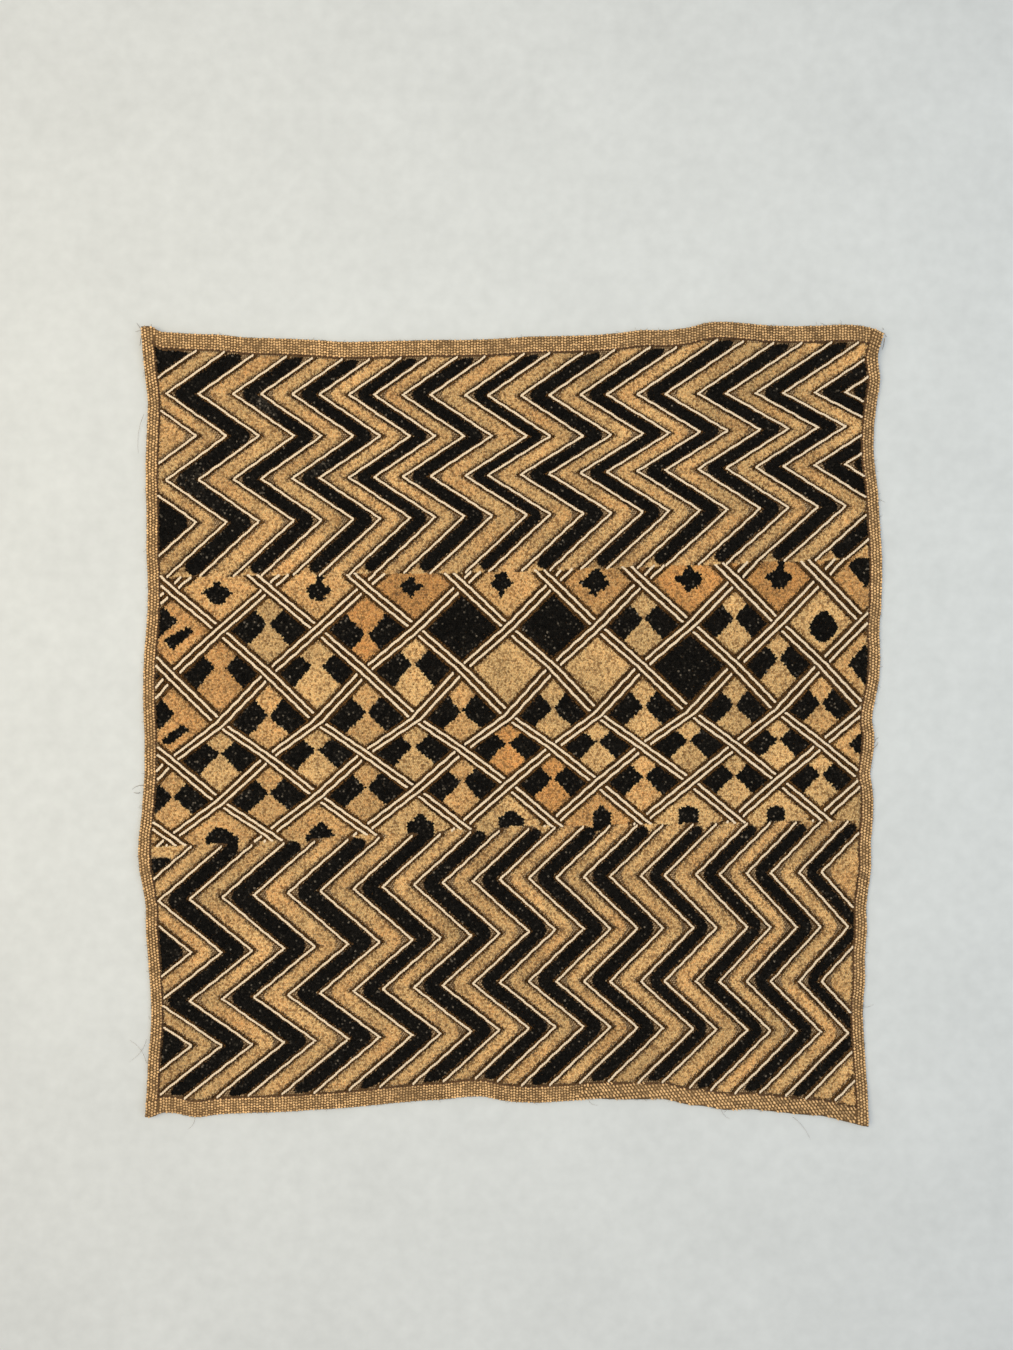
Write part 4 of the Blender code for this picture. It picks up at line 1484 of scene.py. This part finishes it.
class KUBA_OT_hem_stitches(KubaOperator, bpy.types.Operator):
    """Make the running stitches along the hems"""

    bl_idname = "kuba.hem_stitches"
    bl_label = "Hem stitches"

    def execute(self, context):
        make_hem_stitches(context.scene.kuba_stitch, context.scene.kuba_ground)
        return {"FINISHED"}


class KUBA_OT_loose_ends(KubaOperator, bpy.types.Operator):
    """Make the loose raffia ends round the rim"""

    bl_idname = "kuba.loose_ends"
    bl_label = "Loose ends"

    def execute(self, context):
        make_loose_ends(context.scene.kuba_stitch)
        return {"FINISHED"}


class KUBA_OT_lay(KubaOperator, bpy.types.Operator):
    """Gather the names of the pieces that make up the cloth"""

    bl_idname = "kuba.lay"
    bl_label = "Lay the cloth"

    def execute(self, context):
        names = [f"{c}_pile_{f}" for c in ("tan", "black") for f in ("upper", "lattice", "lower")]
        names += ["cream_lines", "brown_chevron_lines", "brown_lattice_lines", "bare_weave",
                  "end_hem_weave", "side_hem_weave", "hem_stitches", "loose_ends"]
        return {"FINISHED"}


class KUBA_OT_stage(KubaOperator, bpy.types.Operator):
    """Make the pale floor, the soft lights and the camera"""

    bl_idname = "kuba.stage"
    bl_label = "Stage"

    def execute(self, context):
        settings = context.scene.kuba_stage
        make_floor(settings)
        make_light("left_light", at=(-0.55, 0.15, 1.30), size=1.0, power=settings.left,
                   tint=(1.0, 0.905, 0.64))
        make_light("right_light", at=(0.8, 0.1, 1.35), size=1.3, power=settings.right,
                   tint=(0.61, 0.84, 1.0))
        make_air(context.scene)
        make_camera(context.scene, settings)
        return {"FINISHED"}


def make_floor(settings):
    mesh = bpy.data.meshes.new("pale_floor")
    half = 3.0
    corners = [(-half, -half, 0), (half, -half, 0), (half, half, 0), (-half, half, 0)]
    mesh.from_pydata(corners, [], [(0, 1, 2, 3)])
    floor = bpy.data.objects.new("pale_floor", mesh)
    bpy.context.scene.collection.objects.link(floor)
    material, tree, shader, place = new_material("pale_board", roughness=0.75, sheen=0.0, gloss=0.2)
    board = toned(tree, place, tuple(settings.floor), patch=12.0, fibre=90.0, strength=0.10)
    link(tree, board, shader.inputs["Base Color"])
    mesh.materials.append(material)


def make_light(name, at, size, power, tint):
    data = bpy.data.lights.new(name, "AREA")
    data.shape = "SQUARE"
    data.size = size
    data.energy = power
    data.color = tint
    light = bpy.data.objects.new(name, data)
    light.location = at
    light.rotation_euler = Vector(at).to_track_quat("Z", "Y").to_euler()
    bpy.context.scene.collection.objects.link(light)


def make_air(scene):
    """Plain pale surroundings that light the scene softly from all round."""
    world = bpy.data.worlds.new("pale_room")
    world.use_nodes = True
    air = world.node_tree.nodes["Background"]
    air.inputs["Color"].default_value = (0.93, 0.95, 1.0, 1.0)
    air.inputs["Strength"].default_value = 0.42
    scene.world = world
    scene.view_settings.view_transform = "Standard"


def make_camera(scene, settings):
    data = bpy.data.cameras.new("camera")
    data.lens = settings.lens
    data.sensor_width = 36.0
    camera = bpy.data.objects.new("camera", data)
    camera.location = (settings.aim_x, settings.aim_y, settings.height)
    scene.collection.objects.link(camera)
    scene.camera = camera


class KUBA_PT_cloth(bpy.types.Panel):
    """Buttons and sizes of the kuba raffia cloth"""

    bl_label = "Kuba raffia cloth"
    bl_idname = "KUBA_PT_cloth"
    bl_space_type = "VIEW_3D"
    bl_region_type = "UI"
    bl_category = "Kuba cloth"

    def draw(self, context):
        for group_name in SETTINGS:
            group = getattr(context.scene, group_name)
            box = self.layout.box()
            for setting in group.bl_rna.properties:
                if setting.identifier not in {"rna_type", "name"}:
                    box.prop(group, setting.identifier)
        for operator in OPERATORS:
            self.layout.operator(operator.bl_idname)


SETTINGS = {
    "kuba_ground": KubaGroundSettings,
    "kuba_pile": KubaPileSettings,
    "kuba_stitch": KubaStitchSettings,
    "kuba_stage": KubaStageSettings,
}
OPERATORS = (KUBA_OT_ground, KUBA_OT_pile, KUBA_OT_lines, KUBA_OT_bare_weave, KUBA_OT_hem_weave,
             KUBA_OT_hem_stitches, KUBA_OT_loose_ends, KUBA_OT_lay, KUBA_OT_stage)


def register():
    for item in (*SETTINGS.values(), *OPERATORS, KUBA_PT_cloth):
        bpy.utils.register_class(item)
    for group_name, group in SETTINGS.items():
        setattr(bpy.types.Scene, group_name, PointerProperty(type=group))


def unregister():
    for group_name in SETTINGS:
        delattr(bpy.types.Scene, group_name)
    for item in (KUBA_PT_cloth, *reversed(OPERATORS), *reversed(SETTINGS.values())):
        bpy.utils.unregister_class(item)


def main():
    register()
    for operator in OPERATORS:
        category, action = operator.bl_idname.split(".")
        getattr(getattr(bpy.ops, category), action)()


if __name__ == "__main__":
    main()
